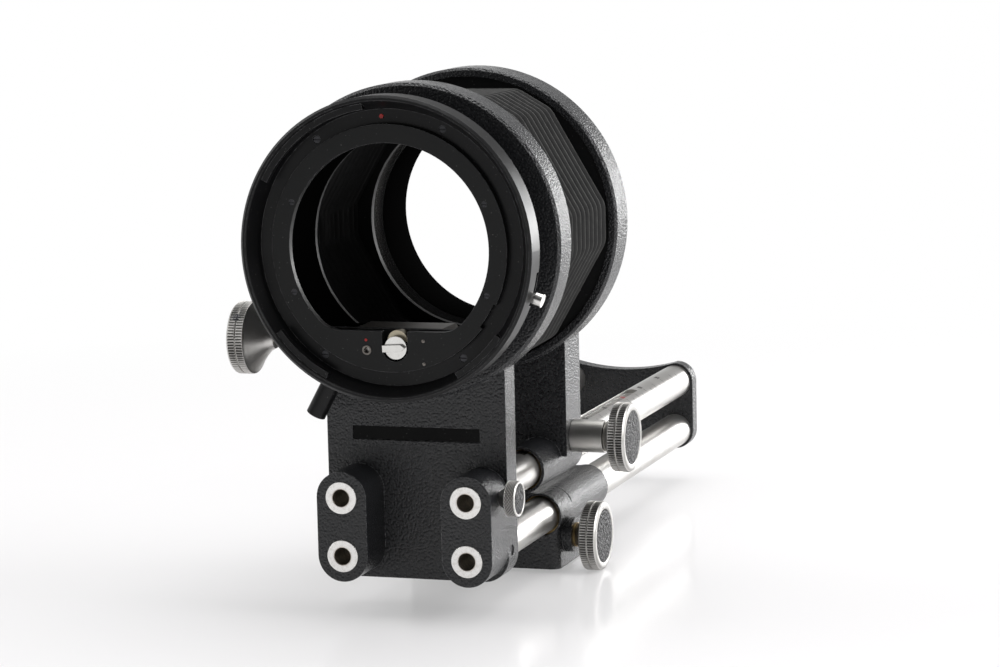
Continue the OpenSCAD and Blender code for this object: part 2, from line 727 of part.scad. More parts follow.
// ---------- rails ----------
module rail(x, z, side, rack_y, pitch_line) {
  color("#d9d7d1") difference() {
    along_y(rail_start_y + side_gap, rail_end_y, rail_r, x, z);
    translate([0, 0, z]) mirror([0, 0, side > 0 ? 0 : 1]) rack_slot(x, rack_y[0], rack_y[1], pitch_line);
    along_y(rail_end_y - screw_len - 2, rail_end_y + 1, rail_tap_d / 2, x, z);
  }
}
module rail_upper_right() { rail(rail_x, up_z, 1, upper_rack_y, focus_rise - pinion_r); }
module rail_upper_left() { rail(-rail_x, up_z, 1, upper_rack_y, focus_rise - pinion_r); }
module rail_lower_right() { rail(rail_x, low_z, -1, lower_rack_y, tripod_drop - pinion_r); }
module rail_lower_left() { rail(-rail_x, low_z, -1, lower_rack_y, tripod_drop - pinion_r); }
module upper_racks() {
  color("#9a9892") for (s = rail_signs) translate([0, 0, up_z])
    rack(s * rail_x, upper_rack_y[0], upper_rack_y[1], shaft_y, focus_rise - pinion_r);
}
module lower_racks() {
  color("#9a9892") for (s = rail_signs) translate([0, 0, low_z]) mirror([0, 0, 1])
    rack(s * rail_x, lower_rack_y[0], lower_rack_y[1], tripod_y, tripod_drop - pinion_r);
}
module rod_sockets() {
  color("#e4e2dc") for (s = rail_signs, z = [low_z, up_z]) difference() {
    along_y(boss_y - 0.3, boss_y + rod_socket_len, rod_socket_r, s * rail_x, z);
    along_y(boss_y - 1, boss_y + rod_socket_len + 1, rod_bore_r, s * rail_x, z);
  }
}
module grub_screws() {
  color("#2b2b2d") for (s = rail_signs) {
    inner = rail_x + rail_r + 0.02;
    outer = (s > 0 ? plate_right : plate_left) - 0.3;
    difference() {
      along_x(s > 0 ? inner : -outer, s > 0 ? outer : -inner, grub_r, grub_y, low_z);
      translate([s * outer, grub_y, low_z]) cube([0.6, 0.4, 4], center = true);
    }
  }
}
module clamp_screw() {
  color("#cfccc4") {
    along_x(rail_x + rod_socket_r + 0.1, clamp_x + eps, clamp_thread_r, clamp_y, up_z);
    // cone between the plate and the head
    turned_x([[0, clamp_x - clamp_neck + 0.2], [clamp_collar_r, clamp_x - clamp_neck + 0.2],
      [clamp_collar_end_r, clamp_x + eps], [0, clamp_x + eps]], clamp_y, up_z);
    difference() {
      turned_x([[0, clamp_x], [clamp_head_r - 0.5, clamp_x], [clamp_head_r, clamp_x + 0.5],
        [clamp_head_r, clamp_face - 0.4], [clamp_head_r - 0.4, clamp_face], [0, clamp_face]], clamp_y, up_z);
      along_x(clamp_face - inlay_deep, cut, clamp_inlay_r + seat_gap, clamp_y, up_z);
    }
  }
}
module clamp_screw_inlay() {
  color("#2a2a2c") along_x(clamp_face - inlay_deep, clamp_face + inlay_rise, clamp_inlay_r, clamp_y, up_z);
}

// ---------- bellows ----------
// Corners of the twelve-sided fold, long sides and short sides in turn
function fold_corner(k, long, short) =
  let (a = 30 * k, from_long = k % 2 == 1,
    d0 = from_long ? long : short, d1 = from_long ? short : long,
    t = (d1 - d0 * cos(30)) / sin(30))
  [d0 * cos(a) - t * sin(a), d0 * sin(a) + t * cos(a)];
function fold_ring(y, long, short) =
  [for (k = [0:11]) let (p = fold_corner(k, long, short)) [p[0], y, axis_h + p[1]]];
module bellows_frame(y) {
  color("#101012") difference() {
    along_y(y, y + frame_t, frame_r, 0, axis_h);
    along_y(y - 1, y + frame_t + 1, frame_hole_r, 0, axis_h);
  }
}
module front_bellows_frame() { bellows_frame(housing_end - frame_t); }
module rear_bellows_frame() { bellows_frame(rear_y + rear_recess - frame_t); }
module bellows() {
  folds = 2 * pleats;
  step = (bellows_end - bellows_y) / folds;
  inset = function (i, wall) wall + (i % 2 == 0 ? pleat_deep : 0);
  ring_at = function (i, wall)
    fold_ring(bellows_y + i * step, fold_long - inset(i, wall), fold_short - inset(i, wall));
  outer = [for (i = [0:folds]) ring_at(i, 0)];
  inner = [for (i = [folds:-1:0]) ring_at(i, cloth_t)];
  rings = concat(outer, inner);
  n = len(rings);
  faces = [for (i = [0:n - 1], k = [0:11]) let (a = i * 12 + k, b = i * 12 + (k + 1) % 12,
    c = ((i + 1) % n) * 12 + (k + 1) % 12, d = ((i + 1) % n) * 12 + k)
    each [[a, b, c], [a, c, d]]];
  color("#141414") polyhedron([for (r = rings) each r], faces);
}

// ---------- rear standard ----------
module rear_standard() {
  color("#1d1e20") difference() {
    union() {
      turned_y([[rear_hole_r, rear_y], [rear_r - 0.7, rear_y], [rear_r, rear_y + 0.7],
        [rear_r, rear_end - 0.7], [rear_r - 0.7, rear_end], [rear_hole_r, rear_end]], axis_h);
      slab_y(column_y, column_end) difference() {
        union() {
          translate([-rail_x, column_low_z]) square([2 * rail_x, column_top - column_low_z]);
          translate([-column_w / 2, column_foot_z]) square([column_w, column_top - column_foot_z]);
        }
        translate([0, axis_h]) circle(r = rear_mount_r + seat_gap, $fn = fine);
      }
      for (s = rail_signs) along_y(sleeve_y, sleeve_end, sleeve_r, s * rail_x, up_z);
    }
    for (s = rail_signs) {
      along_y(sleeve_y - 1, sleeve_end + 1, rail_r + rail_fit + bush_wall + seat_gap, s * rail_x, up_z);
      along_x(s * rail_x - pinion_w / 2 - 0.4, s * rail_x + pinion_w / 2 + 0.4, pocket_r, shaft_y, focus_z);
    }
    along_x(-column_w, column_w, shaft_r + shaft_fit, shaft_y, focus_z);
    for (s = rail_signs)
      along_x(s > 0 ? column_w / 2 - collar_in : -cut, s > 0 ? cut : collar_in - column_w / 2,
        collar_r + seat_gap, shaft_y, focus_z);
    // recess for the rear frame of the bellows
    along_y(rear_y - 1, rear_y + rear_recess, frame_r + side_gap, 0, axis_h);
    along_y(rear_end - rear_seat, rear_end + 1, rear_mount_r + seat_gap, 0, axis_h);
  }
}
module rear_sleeve_bushes() {
  color("#b08a48") for (s = rail_signs, y = [sleeve_y + bush_in, sleeve_end - bush_in - bush_len])
    sleeve_bush(s * rail_x, y, up_z);
}
module sleeve_bush(x, y, z) {
  difference() {
    along_y(y, y + bush_len, rail_r + rail_fit + bush_wall, x, z);
    along_y(y - 1, y + bush_len + 1, rail_r + rail_fit, x, z);
  }
}
module rear_mount() {
  mount_end = rear_end + rear_mount_len;
  color("#c8c6c0") difference() {
    union() {
      turned_y([[rear_bore_r, rear_end - rear_seat], [rear_mount_r, rear_end - rear_seat],
        [rear_mount_r, rear_end + rear_flange_t], [rear_spigot_r, rear_end + rear_flange_t],
        [rear_spigot_r, mount_end], [rear_bore_r, mount_end]], axis_h);
      for (k = [0:2]) translate([0, 0, axis_h]) slab_y(mount_end - rear_lug_t, mount_end)
        sector(rear_bore_r + 1, rear_mount_r - 0.6, 10 + 120 * k, 60 + 120 * k);
    }
    for (p = rear_screw_spots)
      along_y(rear_end - 2, rear_end + rear_flange_t + 1, rear_screw_r, p[0], axis_h + p[1]);
  }
}
module rear_mount_screws() {
  color("#8c8a86") for (p = rear_screw_spots) translate([p[0], rear_end + rear_flange_t - 0.1, axis_h + p[1]])
    rotate([90, 0, 0]) slotted_head(rear_screw_r - 0.05, rear_flange_t + 1);
}
module focus_shaft() {
  reach = focus_sleeve_reach + knob_cone;
  color("#9d9b96") along_x(-reach, reach, shaft_r, shaft_y, focus_z);
}
module focus_pinions() {
  color("#9d9b96") for (s = rail_signs) pinion(s * rail_x, shaft_y, focus_z, false);
}
module focus_shaft_sleeves() {
  color("#d9d7d1") for (s = rail_signs) mirror([s > 0 ? 0 : 1, 0, 0]) difference() {
    union() {
      along_x(column_w / 2 + seat_gap, focus_sleeve_reach, focus_sleeve_r, shaft_y, focus_z);
      along_x(column_w / 2 - collar_in + side_gap, column_w / 2 + 1, collar_r, shaft_y, focus_z);
    }
    along_x(0, cut, shaft_r + shaft_fit, shaft_y, focus_z);
  }
}
// Knob whose cone starts at x and whose face looks along +X
module knob(x, y, z, cone, neck, inlaid) {
  rim = x + cone;
  face = rim + knob_t;
  mid = rim + knob_t / 2;
  difference() {
    turned_x([[0, x], [neck, x], [knob_r - 1.2, rim], [knob_r - knob_edge, rim], [knob_r, rim + knob_edge],
      [knob_r, mid - 0.25], [knob_r - 0.35, mid - 0.1], [knob_r - 0.35, mid + 0.1], [knob_r, mid + 0.25],
      [knob_r, face - knob_edge], [knob_r - knob_edge, face], [0, face]], y, z);
    if (inlaid) along_x(face - inlay_deep, face + 1, inlay_r + seat_gap, y, z);
  }
}
module knob_bored(x, y, z, cone, neck, inlaid, bore, depth) {
  difference() {
    knob(x, y, z, cone, neck, inlaid);
    along_x(x - 1, x + depth, bore + seat_gap / 3, y, z);
  }
}
module knob_inlay(x, y, z, cone) {
  face = x + cone + knob_t;
  along_x(face - inlay_deep, face + inlay_rise, inlay_r, y, z);
}
module focus_knob() {
  neck = focus_sleeve_r - 0.6;
  knob_bored(focus_knob_x, shaft_y, focus_z, knob_cone, neck, true, shaft_r, knob_cone - 0.15);
}
module focus_knob_right() {
  color("#cfccc4") focus_knob();
}
module focus_knob_left() {
  color("#cfccc4") mirror([1, 0, 0]) focus_knob();
}
module focus_knob_inlays() {
  color("#2a2a2c") for (m = [0, 1]) mirror([m, 0, 0]) knob_inlay(focus_knob_x, shaft_y, focus_z, knob_cone);
}
module cocking_knob() {
  x = cocking_reach - knob_t - cocking_cone;
  color("#cfccc4") difference() {
    mirror([1, 0, 0])
      knob_bored(x, drive_y, drive_z, cocking_cone, cocking_neck_r, false, drive_shaft_r, cocking_cone);
    // cross hole of the pin that holds the knob on its shaft
    translate([knob_x + knob_t / 2, drive_y, drive_z]) rotate([-38, 0, 0]) translate([0, 0, knob_r - 3])
      cylinder(r = 0.8, h = 4, $fn = 32);
  }
}

// ---------- tripod block ----------
module tripod_block() {
  color("#1d1e20") difference() {
    union() {
      linear_extrude(foot_top + 2)
        round_rect(-block_w / 2, block_w / 2, -block_len / 2, block_len / 2, foot_corner_r);
      block([-rail_x, rail_x], [-block_len / 2, block_len / 2], [foot_top - 2, block_top]);
      for (s = rail_signs) along_y(-block_len / 2 - 1, block_len / 2 + 1, sleeve_r - 0.2, s * rail_x, low_z);
      along_x(rail_x, tripod_boss_reach, tripod_boss_r, tripod_y, tripod_z);
    }
    for (s = rail_signs) {
      along_y(-block_len, block_len, rail_r + rail_fit + bush_wall + seat_gap, s * rail_x, low_z);
      along_x(s * rail_x - pinion_w / 2 - 0.4, s * rail_x + pinion_w / 2 + 0.4, pocket_r, tripod_y, tripod_z);
    }
    // joint line round the upper outer side of each sleeve
    for (s = rail_signs) intersection() {
      difference() {
        along_y(joint_y, joint_y + joint_w, sleeve_r + 1, s * rail_x, low_z);
        along_y(joint_y - 1, joint_y + joint_w + 1, sleeve_r - 0.2 - joint_deep, s * rail_x, low_z);
      }
      block(s > 0 ? [rail_x, cut] : [-cut, -rail_x], [-block_len, block_len], [foot_top + 2, cut]);
    }
    along_x(-rail_x - pinion_w, tripod_boss_reach + 2, shaft_r + shaft_fit, tripod_y, tripod_z);
    translate([0, 0, -1]) cylinder(r = socket_flange_r + seat_gap, h = 1 + socket_flange_t, $fn = fine);
    cylinder(r = socket_wall_r + seat_gap, h = socket_deep + 1.2, $fn = fine);
  }
}
module tripod_socket() {
  color("#b9b6af") difference() {
    union() {
      cylinder(r = socket_flange_r, h = socket_flange_t, $fn = fine);
      cylinder(r = socket_wall_r, h = socket_deep + 1, $fn = fine);
    }
    translate([0, 0, -1]) cylinder(r = socket_d / 2, h = socket_deep + 1, $fn = fine);
  }
}
module tripod_sleeve_bushes() {
  reach = block_len / 2 + 1 - bush_in;
  color("#b08a48") for (s = rail_signs, y = [-reach, reach - bush_len]) sleeve_bush(s * rail_x, y, low_z);
}
module tripod_shaft() {
  reach = tripod_knob_x + knob_cone - 0.15;
  color("#9d9b96") along_x(-rail_x - pinion_w + 0.5, reach, shaft_r, tripod_y, tripod_z);
}
module tripod_pinions() {
  color("#9d9b96") for (s = rail_signs) pinion(s * rail_x, tripod_y, tripod_z, true);
}
module tripod_washer() {
  color("#b8924a") difference() {
    along_x(tripod_boss_reach, tripod_boss_reach + washer_t, 3.6, tripod_y, tripod_z);
    along_x(0, cut, shaft_r + shaft_fit, tripod_y, tripod_z);
  }
}
module tripod_knob() {
  color("#cfccc4")
    knob_bored(tripod_knob_x, tripod_y, tripod_z, knob_cone, knob_neck_r, true, shaft_r, knob_cone - 0.15);
}
module tripod_knob_inlay() {
  color("#2a2a2c") knob_inlay(tripod_knob_x, tripod_y, tripod_z, knob_cone);
}

// ---------- end bracket ----------
module sink_place(x, z) {
  translate([x, rail_end_y + bracket_t - screw_sink, z]) rotate([-90, 0, 0]) children();
}
module end_bracket() {
  half = rail_x + bracket_r;
  top = up_z + bracket_r;
  // radius of the saddle's arc, from its dip and its half width
  sag_r = (rail_x * rail_x + saddle * saddle) / (2 * saddle);
  color("#1d1e20") difference() {
    slab_y(rail_end_y, rail_end_y + bracket_t) difference() {
      round_rect(-half, half, low_z - bracket_r, top, bracket_r);
      translate([0, top - saddle + sag_r]) circle(r = sag_r, $fn = fine);
    }
    for (s = rail_signs, z = [low_z, up_z]) {
      along_y(rail_end_y - 1, rail_end_y + bracket_t + 1, screw_r + 0.15, s * rail_x, z);
      sink_place(s * rail_x, z)
        cylinder(r1 = screw_r + 0.15, r2 = screw_r + 2.15, h = screw_sink + eps, $fn = fine);
    }
  }
}
module bracket_screws() {
  color("#8c8a86") for (s = rail_signs, z = [low_z, up_z]) difference() {
    union() {
      along_y(rail_end_y - screw_len, rail_end_y + bracket_t - screw_head_len, screw_r, s * rail_x, z);
      sink_place(s * rail_x, z)
        cylinder(r1 = screw_r, r2 = screw_r + screw_head_len, h = screw_head_len, $fn = fine);
    }
    translate([s * rail_x, rail_end_y + bracket_t, z]) cube(screw_slot, center = true);
  }
}

front_standard();
lens_mount_ring();
throat_plate();
mount_screws();
index_dot();
lens_lock_lever();
drive_coupling();
drive_plate();
coupling_bush();
coupling_stop();
coupling_gear();
cocking_gear();
cocking_shaft();
cocking_shaft_bush();
cocking_knob();
gearbox_cover();
cable_socket();
release_plunger();
release_pin_bush();
release_pin();
nameplate();
rail_upper_right();
rail_upper_left();
rail_lower_right();
rail_lower_left();
upper_racks();
lower_racks();
rod_sockets();
grub_screws();
clamp_screw();
clamp_screw_inlay();
front_bellows_frame();
bellows();
rear_bellows_frame();
rear_standard();
rear_mount();
rear_mount_screws();
rear_sleeve_bushes();
focus_shaft();
focus_pinions();
focus_shaft_sleeves();
focus_knob_right();
focus_knob_left();
focus_knob_inlays();
tripod_block();
tripod_socket();
tripod_sleeve_bushes();
tripod_shaft();
tripod_pinions();
tripod_washer();
tripod_knob();
tripod_knob_inlay();
end_bracket();
bracket_screws();
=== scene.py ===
"""Looks of a macro bellows unit: crinkle enamel castings, knurled knobs, chrome rails and a pleated bellows.

Sizes are millimetres, turned into metres where a mesh is made. The frame is the CAD part's: X to the right
as seen from the lens, Y from the lens towards the camera along the rails, Z up.
"""

import logging
import math
from abc import ABC, abstractmethod
from dataclasses import dataclass, field
from enum import Enum
from typing import Callable, Iterable, Sequence

import bmesh
import bpy
from mathutils import Matrix, Vector


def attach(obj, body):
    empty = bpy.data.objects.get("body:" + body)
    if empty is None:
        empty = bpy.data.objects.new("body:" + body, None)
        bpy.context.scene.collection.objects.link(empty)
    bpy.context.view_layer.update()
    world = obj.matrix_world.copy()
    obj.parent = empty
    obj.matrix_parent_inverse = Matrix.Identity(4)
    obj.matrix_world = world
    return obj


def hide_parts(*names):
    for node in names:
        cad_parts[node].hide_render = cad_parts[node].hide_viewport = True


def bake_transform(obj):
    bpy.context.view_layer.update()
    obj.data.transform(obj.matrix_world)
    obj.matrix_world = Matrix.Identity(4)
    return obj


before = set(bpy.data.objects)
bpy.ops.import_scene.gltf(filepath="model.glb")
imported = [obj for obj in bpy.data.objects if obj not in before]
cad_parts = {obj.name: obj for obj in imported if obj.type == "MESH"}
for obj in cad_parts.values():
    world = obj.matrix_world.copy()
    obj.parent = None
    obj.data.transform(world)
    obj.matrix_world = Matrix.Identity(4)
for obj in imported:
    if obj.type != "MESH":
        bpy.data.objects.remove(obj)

log = logging.getLogger("bellows_unit")

Socket = bpy.types.NodeSocket
Node = bpy.types.Node
Thing = bpy.types.Object

MM = 0.001
AXIS_H = 103.5
RAIL_X, RAIL_LOW, RAIL_HIGH = 18.3, 16.2, 32.7
WHITE = (1.0, 1.0, 1.0, 1.0)


class Facing(Enum):
    """The way a turned piece looks, from its foot to its face."""

    RIGHT = (0.0, math.pi / 2, 0.0)
    LEFT = (0.0, -math.pi / 2, 0.0)
    BACK = (-math.pi / 2, 0.0, 0.0)
    FRONT = (math.pi / 2, 0.0, 0.0)


# Finishes


COAT = {"colour": "Base Color", "roughness": "Roughness", "metallic": "Metallic", "normal": "Normal",
        "specular": "Specular IOR Level", "sheen": "Sheen Weight"}


class Signal:
    """A varying number in a node tree that takes part in sums, products and comparisons."""

    def __init__(self, bench: "NodeBench", socket: Socket) -> None:
        """Wraps one output socket.

        Args:
            bench: the node bench that made the socket.
            socket: the output that carries the number.
        """
        self.bench = bench
        self.socket = socket

    def _maths(self, operation: str, *others: "Signal | float") -> "Signal":
        """Makes a Math node with this signal first.

        Args:
            operation: the name of Blender's operation.
            others: the further operands.

        Returns:
            The node's result.
        """
        node = self.bench.node("ShaderNodeMath", dict(enumerate((self, *others))), operation=operation)
        return Signal(self.bench, node.outputs[0])

    def __add__(self, other: "Signal | float") -> "Signal":
        """Sum."""
        return self._maths("ADD", other)

    __radd__ = __add__

    def __sub__(self, other: "Signal | float") -> "Signal":
        """Difference."""
        return self._maths("SUBTRACT", other)

    def __rsub__(self, other: float) -> "Signal":
        """Difference from a constant."""
        return (self * -1.0) + other

    def __mul__(self, other: "Signal | float") -> "Signal":
        """Product."""
        return self._maths("MULTIPLY", other)

    __rmul__ = __mul__

    def __pow__(self, other: float) -> "Signal":
        """Power."""
        return self._maths("POWER", other)

    def __lt__(self, other: "Signal | float") -> "Signal":
        """One where this is below the other."""
        return self._maths("LESS_THAN", other)

    def __gt__(self, other: "Signal | float") -> "Signal":
        """One where this is above the other."""
        return self._maths("GREATER_THAN", other)

    def size(self) -> "Signal":
        """The absolute value."""
        return self._maths("ABSOLUTE")

    def sine(self) -> "Signal":
        """The sine of an angle in radians."""
        return self._maths("SINE")

    def angle_over(self, other: "Signal") -> "Signal":
        """The angle whose tangent is this over the other."""
        return self._maths("ARCTAN2", other)

    def hypotenuse(self, other: "Signal") -> "Signal":
        """The length of the two as sides of a right angle."""
        return (self * self + other * other) ** 0.5

    def remainder(self, step: float) -> "Signal":
        """The rest after whole steps, never below zero."""
        return self._maths("FLOORED_MODULO", step)

    def ramp(self, low: float, high: float, out_low: float = 0.0, out_high: float = 1.0) -> "Signal":
        """Maps a range to another, held at both ends.

        Args:
            low: where the ramp starts.
            high: where the ramp ends.
            out_low: the value at the start and before.
            out_high: the value at the end and after.

        Returns:
            The mapped signal.
        """
        ends = dict(enumerate((self, low, high, out_low, out_high)))
        return Signal(self.bench, self.bench.node("ShaderNodeMapRange", ends, clamp=True).outputs[0])


class NodeBench:
    """Makes and joins the nodes of one material."""

    def __init__(self, tree: bpy.types.NodeTree) -> None:
        """Starts on an empty tree."""
        self.tree = tree

    def node(self, kind: str, inputs: dict[int | str, object] | None = None, **settings: object) -> Node:
        """Makes a node: the one place where nodes are made.

        Args:
            kind: Blender's node type.
            inputs: what feeds its inputs, by their places or names.
            settings: attributes to set on it.

        Returns:
            The new node.
        """
        made = self.tree.nodes.new(kind)
        for name, value in settings.items():
            setattr(made, name, value)
        for slot, value in (inputs or {}).items():
            self.feed(made.inputs[slot], value)
        return made

    def feed(self, socket: Socket, value: object) -> None:
        """Joins a signal or output to an input, or sets the input to a constant."""
        if isinstance(value, Signal):
            self.tree.links.new(value.socket, socket)
        elif isinstance(value, Socket):
            self.tree.links.new(value, socket)
        else:
            socket.default_value = value

    def coat(self, shader: Node, **looks: object) -> None:
        """Feeds the inputs of a surface shader, by their short names in COAT."""
        for name, value in looks.items():
            self.feed(shader.inputs[COAT[name]], value)

    def place(self) -> Socket:
        """The object's own coordinates."""
        return self.node("ShaderNodeTexCoord").outputs["Object"]

    def axes(self, place: Socket) -> tuple[Signal, Signal, Signal]:
        """Splits a place into its three coordinates."""
        node = self.node("ShaderNodeSeparateXYZ", {0: place})
        x, y, z = (Signal(self, out) for out in node.outputs)
        return x, y, z

    def stretched(self, place: Socket, scale: Sequence[float]) -> Socket:
        """Scales a place, for grain that runs one way."""
        return self.node("ShaderNodeMapping", {"Vector": place, "Scale": tuple(scale)}).outputs[0]

    def noise(self, place: Socket, grain: float, detail: float = 3.0) -> Signal:
        """Cloudy noise whose patches are about grain metres across."""
        inputs = {"Vector": place, "Scale": 1.0 / grain, "Detail": detail}
        return Signal(self, self.node("ShaderNodeTexNoise", inputs).outputs[0])

    def cells(self, place: Socket, grain: float, soft: float = 0.6) -> Signal:
        """Distance from the middle of rounded cells about grain metres across."""
        inputs = {"Vector": place, "Scale": 1.0 / grain, "Smoothness": soft}
        node = self.node("ShaderNodeTexVoronoi", inputs, feature="SMOOTH_F1")
        return Signal(self, node.outputs["Distance"])

    def warped(self, place: Socket, grain: float, amount: float) -> Socket:
        """A place shifted by noise, so that cells aren't regular."""
        noise = self.node("ShaderNodeTexNoise", {"Vector": place, "Scale": 1.0 / grain})
        inputs = {0: noise.outputs["Color"], 1: (amount, amount, amount), 2: place}
        return self.node("ShaderNodeVectorMath", inputs, operation="MULTIPLY_ADD").outputs[0]

    def tint(self, share: Signal, low: Sequence[float], high: Sequence[float]) -> Socket:
        """Mixes two colours by a signal."""
        colours = [c if isinstance(c, Socket) else (*c, 1.0) for c in (low, high)]
        inputs = {0: share, 6: colours[0], 7: colours[1]}
        return self.node("ShaderNodeMix", inputs, data_type="RGBA").outputs[2]

    def soft_edges(self, radius: float) -> Socket:
        """The normal of the surface as if its edges were rounded."""
        return self.node("ShaderNodeBevel", {"Radius": radius}, samples=6).outputs[0]

    def edge_share(self, rounded: Socket) -> Signal:
        """How near the surface is to an edge, from a rounded normal against the true one."""
        true_normal = self.node("ShaderNodeNewGeometry").outputs["True Normal"]
        dot = self.node("ShaderNodeVectorMath", {0: rounded, 1: true_normal}, operation="DOT_PRODUCT")
        return Signal(self, dot.outputs["Value"])

    def blackened_bore(self, shader: Node, radius: float) -> Socket:
        """Mixes matt black into a shader within a bore along Y.

        Args:
            shader: the surface shader outside the bore.
            radius: where the black ends, in millimetres.

        Returns:
            The mixed surface.
        """
        x, _, z = self.axes(self.place())
        matt = self.node("ShaderNodeBsdfPrincipled")
        self.coat(matt, colour=(0.0025, 0.0025, 0.0025, 1.0), roughness=0.9, specular=0.0)
        share = x.hypotenuse(z - AXIS_H * MM).ramp((radius + 0.2) * MM, radius * MM)
        inputs = {0: share, 1: shader.outputs[0], 2: matt.outputs[0]}
        return self.node("ShaderNodeMixShader", inputs).outputs[0]

    def bumped(self, height: Signal, depth: float, normal: Socket | None = None) -> Socket:
        """A normal bent by a height.

        Args:
            height: the height, from 0 to 1.
            depth: metres between the lowest and the highest place.
            normal: the normal that is bent, or none for the surface's own.

        Returns:
            The bent normal.
        """
        inputs = {"Strength": 1.0, "Distance": depth, "Height": height}
        if normal is not None:
            inputs["Normal"] = normal
        return self.node("ShaderNodeBump", inputs).outputs[0]


@dataclass(frozen=True)
class Finish(ABC):
    """A surface finish of this unit: a name, a slot of the record and the nodes that paint it."""

    name: str
    slot: str

    def material(self) -> bpy.types.Material:
        """Makes the material on its first use and returns it."""
        found = bpy.data.materials.get(self.name)
        if found is not None:
            return found
        made = bpy.data.materials.new(self.name)
        made.use_nodes = True
        made.node_tree.nodes.clear()
        bench = NodeBench(made.node_tree)
        shader = bench.node("ShaderNodeBsdfPrincipled")
        self.paint(bench, shader)
        bench.node("ShaderNodeOutputMaterial", {0: self.surface(bench, shader)})
        return made

    def surface(self, bench: NodeBench, shader: Node) -> Socket:
        """Returns what the material shows: the shader itself, unless a finish mixes in another."""
        return shader.outputs[0]

    @abstractmethod
    def paint(self, bench: NodeBench, shader: Node) -> None:
        """Joins the finish's nodes to the shader.

        Args:
            bench: makes and joins the nodes.
            shader: the surface shader.
        """


@dataclass(frozen=True)
class CrinkleEnamel(Finish):
    """Black wrinkle enamel on a casting, rubbed along its edges."""

    colour: tuple[float, float, float] = (0.013, 0.0135, 0.015)
    worn: tuple[float, float, float] = (0.20, 0.20, 0.205)
    cell: float = 0.62
    depth: float = 0.26
    gloss: float = 0.2
    bore_r: float = 31.4

    def paint(self, bench: NodeBench, shader: Node) -> None:
        """Wrinkles as soft cells with finer grain, over rounded edges, the valleys painted darker than the
        crests as shade.
        """
        place = bench.place()
        loose = bench.warped(place, self.cell * 1.6 * MM, self.cell * 0.45 * MM)
        wrinkle = bench.cells(loose, self.cell * MM)
        fine = bench.noise(place, self.cell * 0.35 * MM, 2.0)
        patch = bench.noise(place, 9.0 * MM, 3.0)
        height = wrinkle * -0.8 + fine * 0.3 + 0.8
        rounded = bench.soft_edges(0.35 * MM)
        edge = bench.edge_share(bench.soft_edges(0.22 * MM)).ramp(0.985, 0.86)
        rub = edge * bench.noise(place, 1.2 * MM, 4.0).ramp(0.44, 0.58)
        # painted shade: the paint colour is darker in the wrinkle valleys and lighter on the crests
        painted_crest_light = height.ramp(0.45, 0.85)
        paint = bench.tint(painted_crest_light, self.colour, tuple(c * 1.5 for c in self.colour))
        bench.coat(shader, colour=bench.tint(rub, paint, self.worn),
                   roughness=patch.ramp(0.3, 0.7, self.gloss - 0.04, self.gloss + 0.07),
                   normal=bench.bumped(height, self.depth * MM, rounded), specular=0.5)

    def surface(self, bench: NodeBench, shader: Node) -> Socket:
        """Enamel, matt black within the optical bore."""
        return bench.blackened_bore(shader, self.bore_r)


@dataclass(frozen=True)
class SatinBlack(Finish):
    """Smooth black finish of the mount parts, with fine turning marks, a little dust and paler edges that are
    partly wear, partly a painted highlight.
    """

    colour: tuple[float, float, float] = (0.0055, 0.0055, 0.006)
    roughness: float = 0.32
    shine: float = 0.22

    def paint(self, bench: NodeBench, shader: Node) -> None:
        """Even black with a soft grain, specks of dust and rounded edges, painted paler as rubbed wear and as
        a painted highlight.
        """
        place = bench.place()
        grain = bench.noise(place, 0.35 * MM, 3.0)
        cloud = bench.noise(place, 14.0 * MM, 3.0)
        dust = bench.noise(place, 0.5 * MM, 1.0).ramp(0.745, 0.79)
        rounded = bench.soft_edges(0.22 * MM)
        edge = bench.edge_share(rounded).ramp(0.99, 0.85)
        # paler edges: partly rubbed wear, partly a painted highlight that stands in for the bright line where
        # the ring's chamfer catches the light
        rub = edge * bench.noise(place, 2.0 * MM).ramp(0.36, 0.56)
        black_with_rub_and_edge_highlight = bench.tint(rub, self.colour, (0.15, 0.15, 0.155))
        bench.coat(shader, colour=bench.tint(dust, black_with_rub_and_edge_highlight, (0.12, 0.12, 0.115)),
                   roughness=cloud.ramp(0.3, 0.7, self.roughness - 0.05, self.roughness + 0.08),
                   normal=bench.bumped(grain, 0.008 * MM, rounded), specular=self.shine)


@dataclass(frozen=True)
class TurnedMetal(Finish):
    """Bare or plated metal, with fine marks of the tool that run across one axis."""

    colour: tuple[float, float, float] = (0.72, 0.71, 0.69)
    stain: tuple[float, float, float] = (0.5, 0.47, 0.43)
    roughness: float = 0.24
    grain: tuple[float, float, float] = (1.0, 1.0, 1.0)
    mark: float = 0.004
    edge: float = 0.15

    def paint(self, bench: NodeBench, shader: Node) -> None:
        """Metal with grain, smudges that change the gloss, and rounded edges."""
        place = bench.place()
        marks = bench.noise(bench.stretched(place, self.grain), 0.3 * MM, 2.0)
        smudge = bench.noise(place, 6.0 * MM, 4.0)
        spots = bench.noise(place, 1.3 * MM, 4.0).ramp(0.66, 0.78)
        rounded = bench.soft_edges(self.edge * MM)
        share = smudge.ramp(0.45, 0.8) * 0.4 + spots * 0.25
        bench.coat(shader, colour=bench.tint(share, self.colour, self.stain), metallic=1.0,
                   roughness=(marks * 0.07 + smudge * 0.09) + (self.roughness - 0.08),
                   normal=bench.bumped(marks, self.mark * MM, rounded))


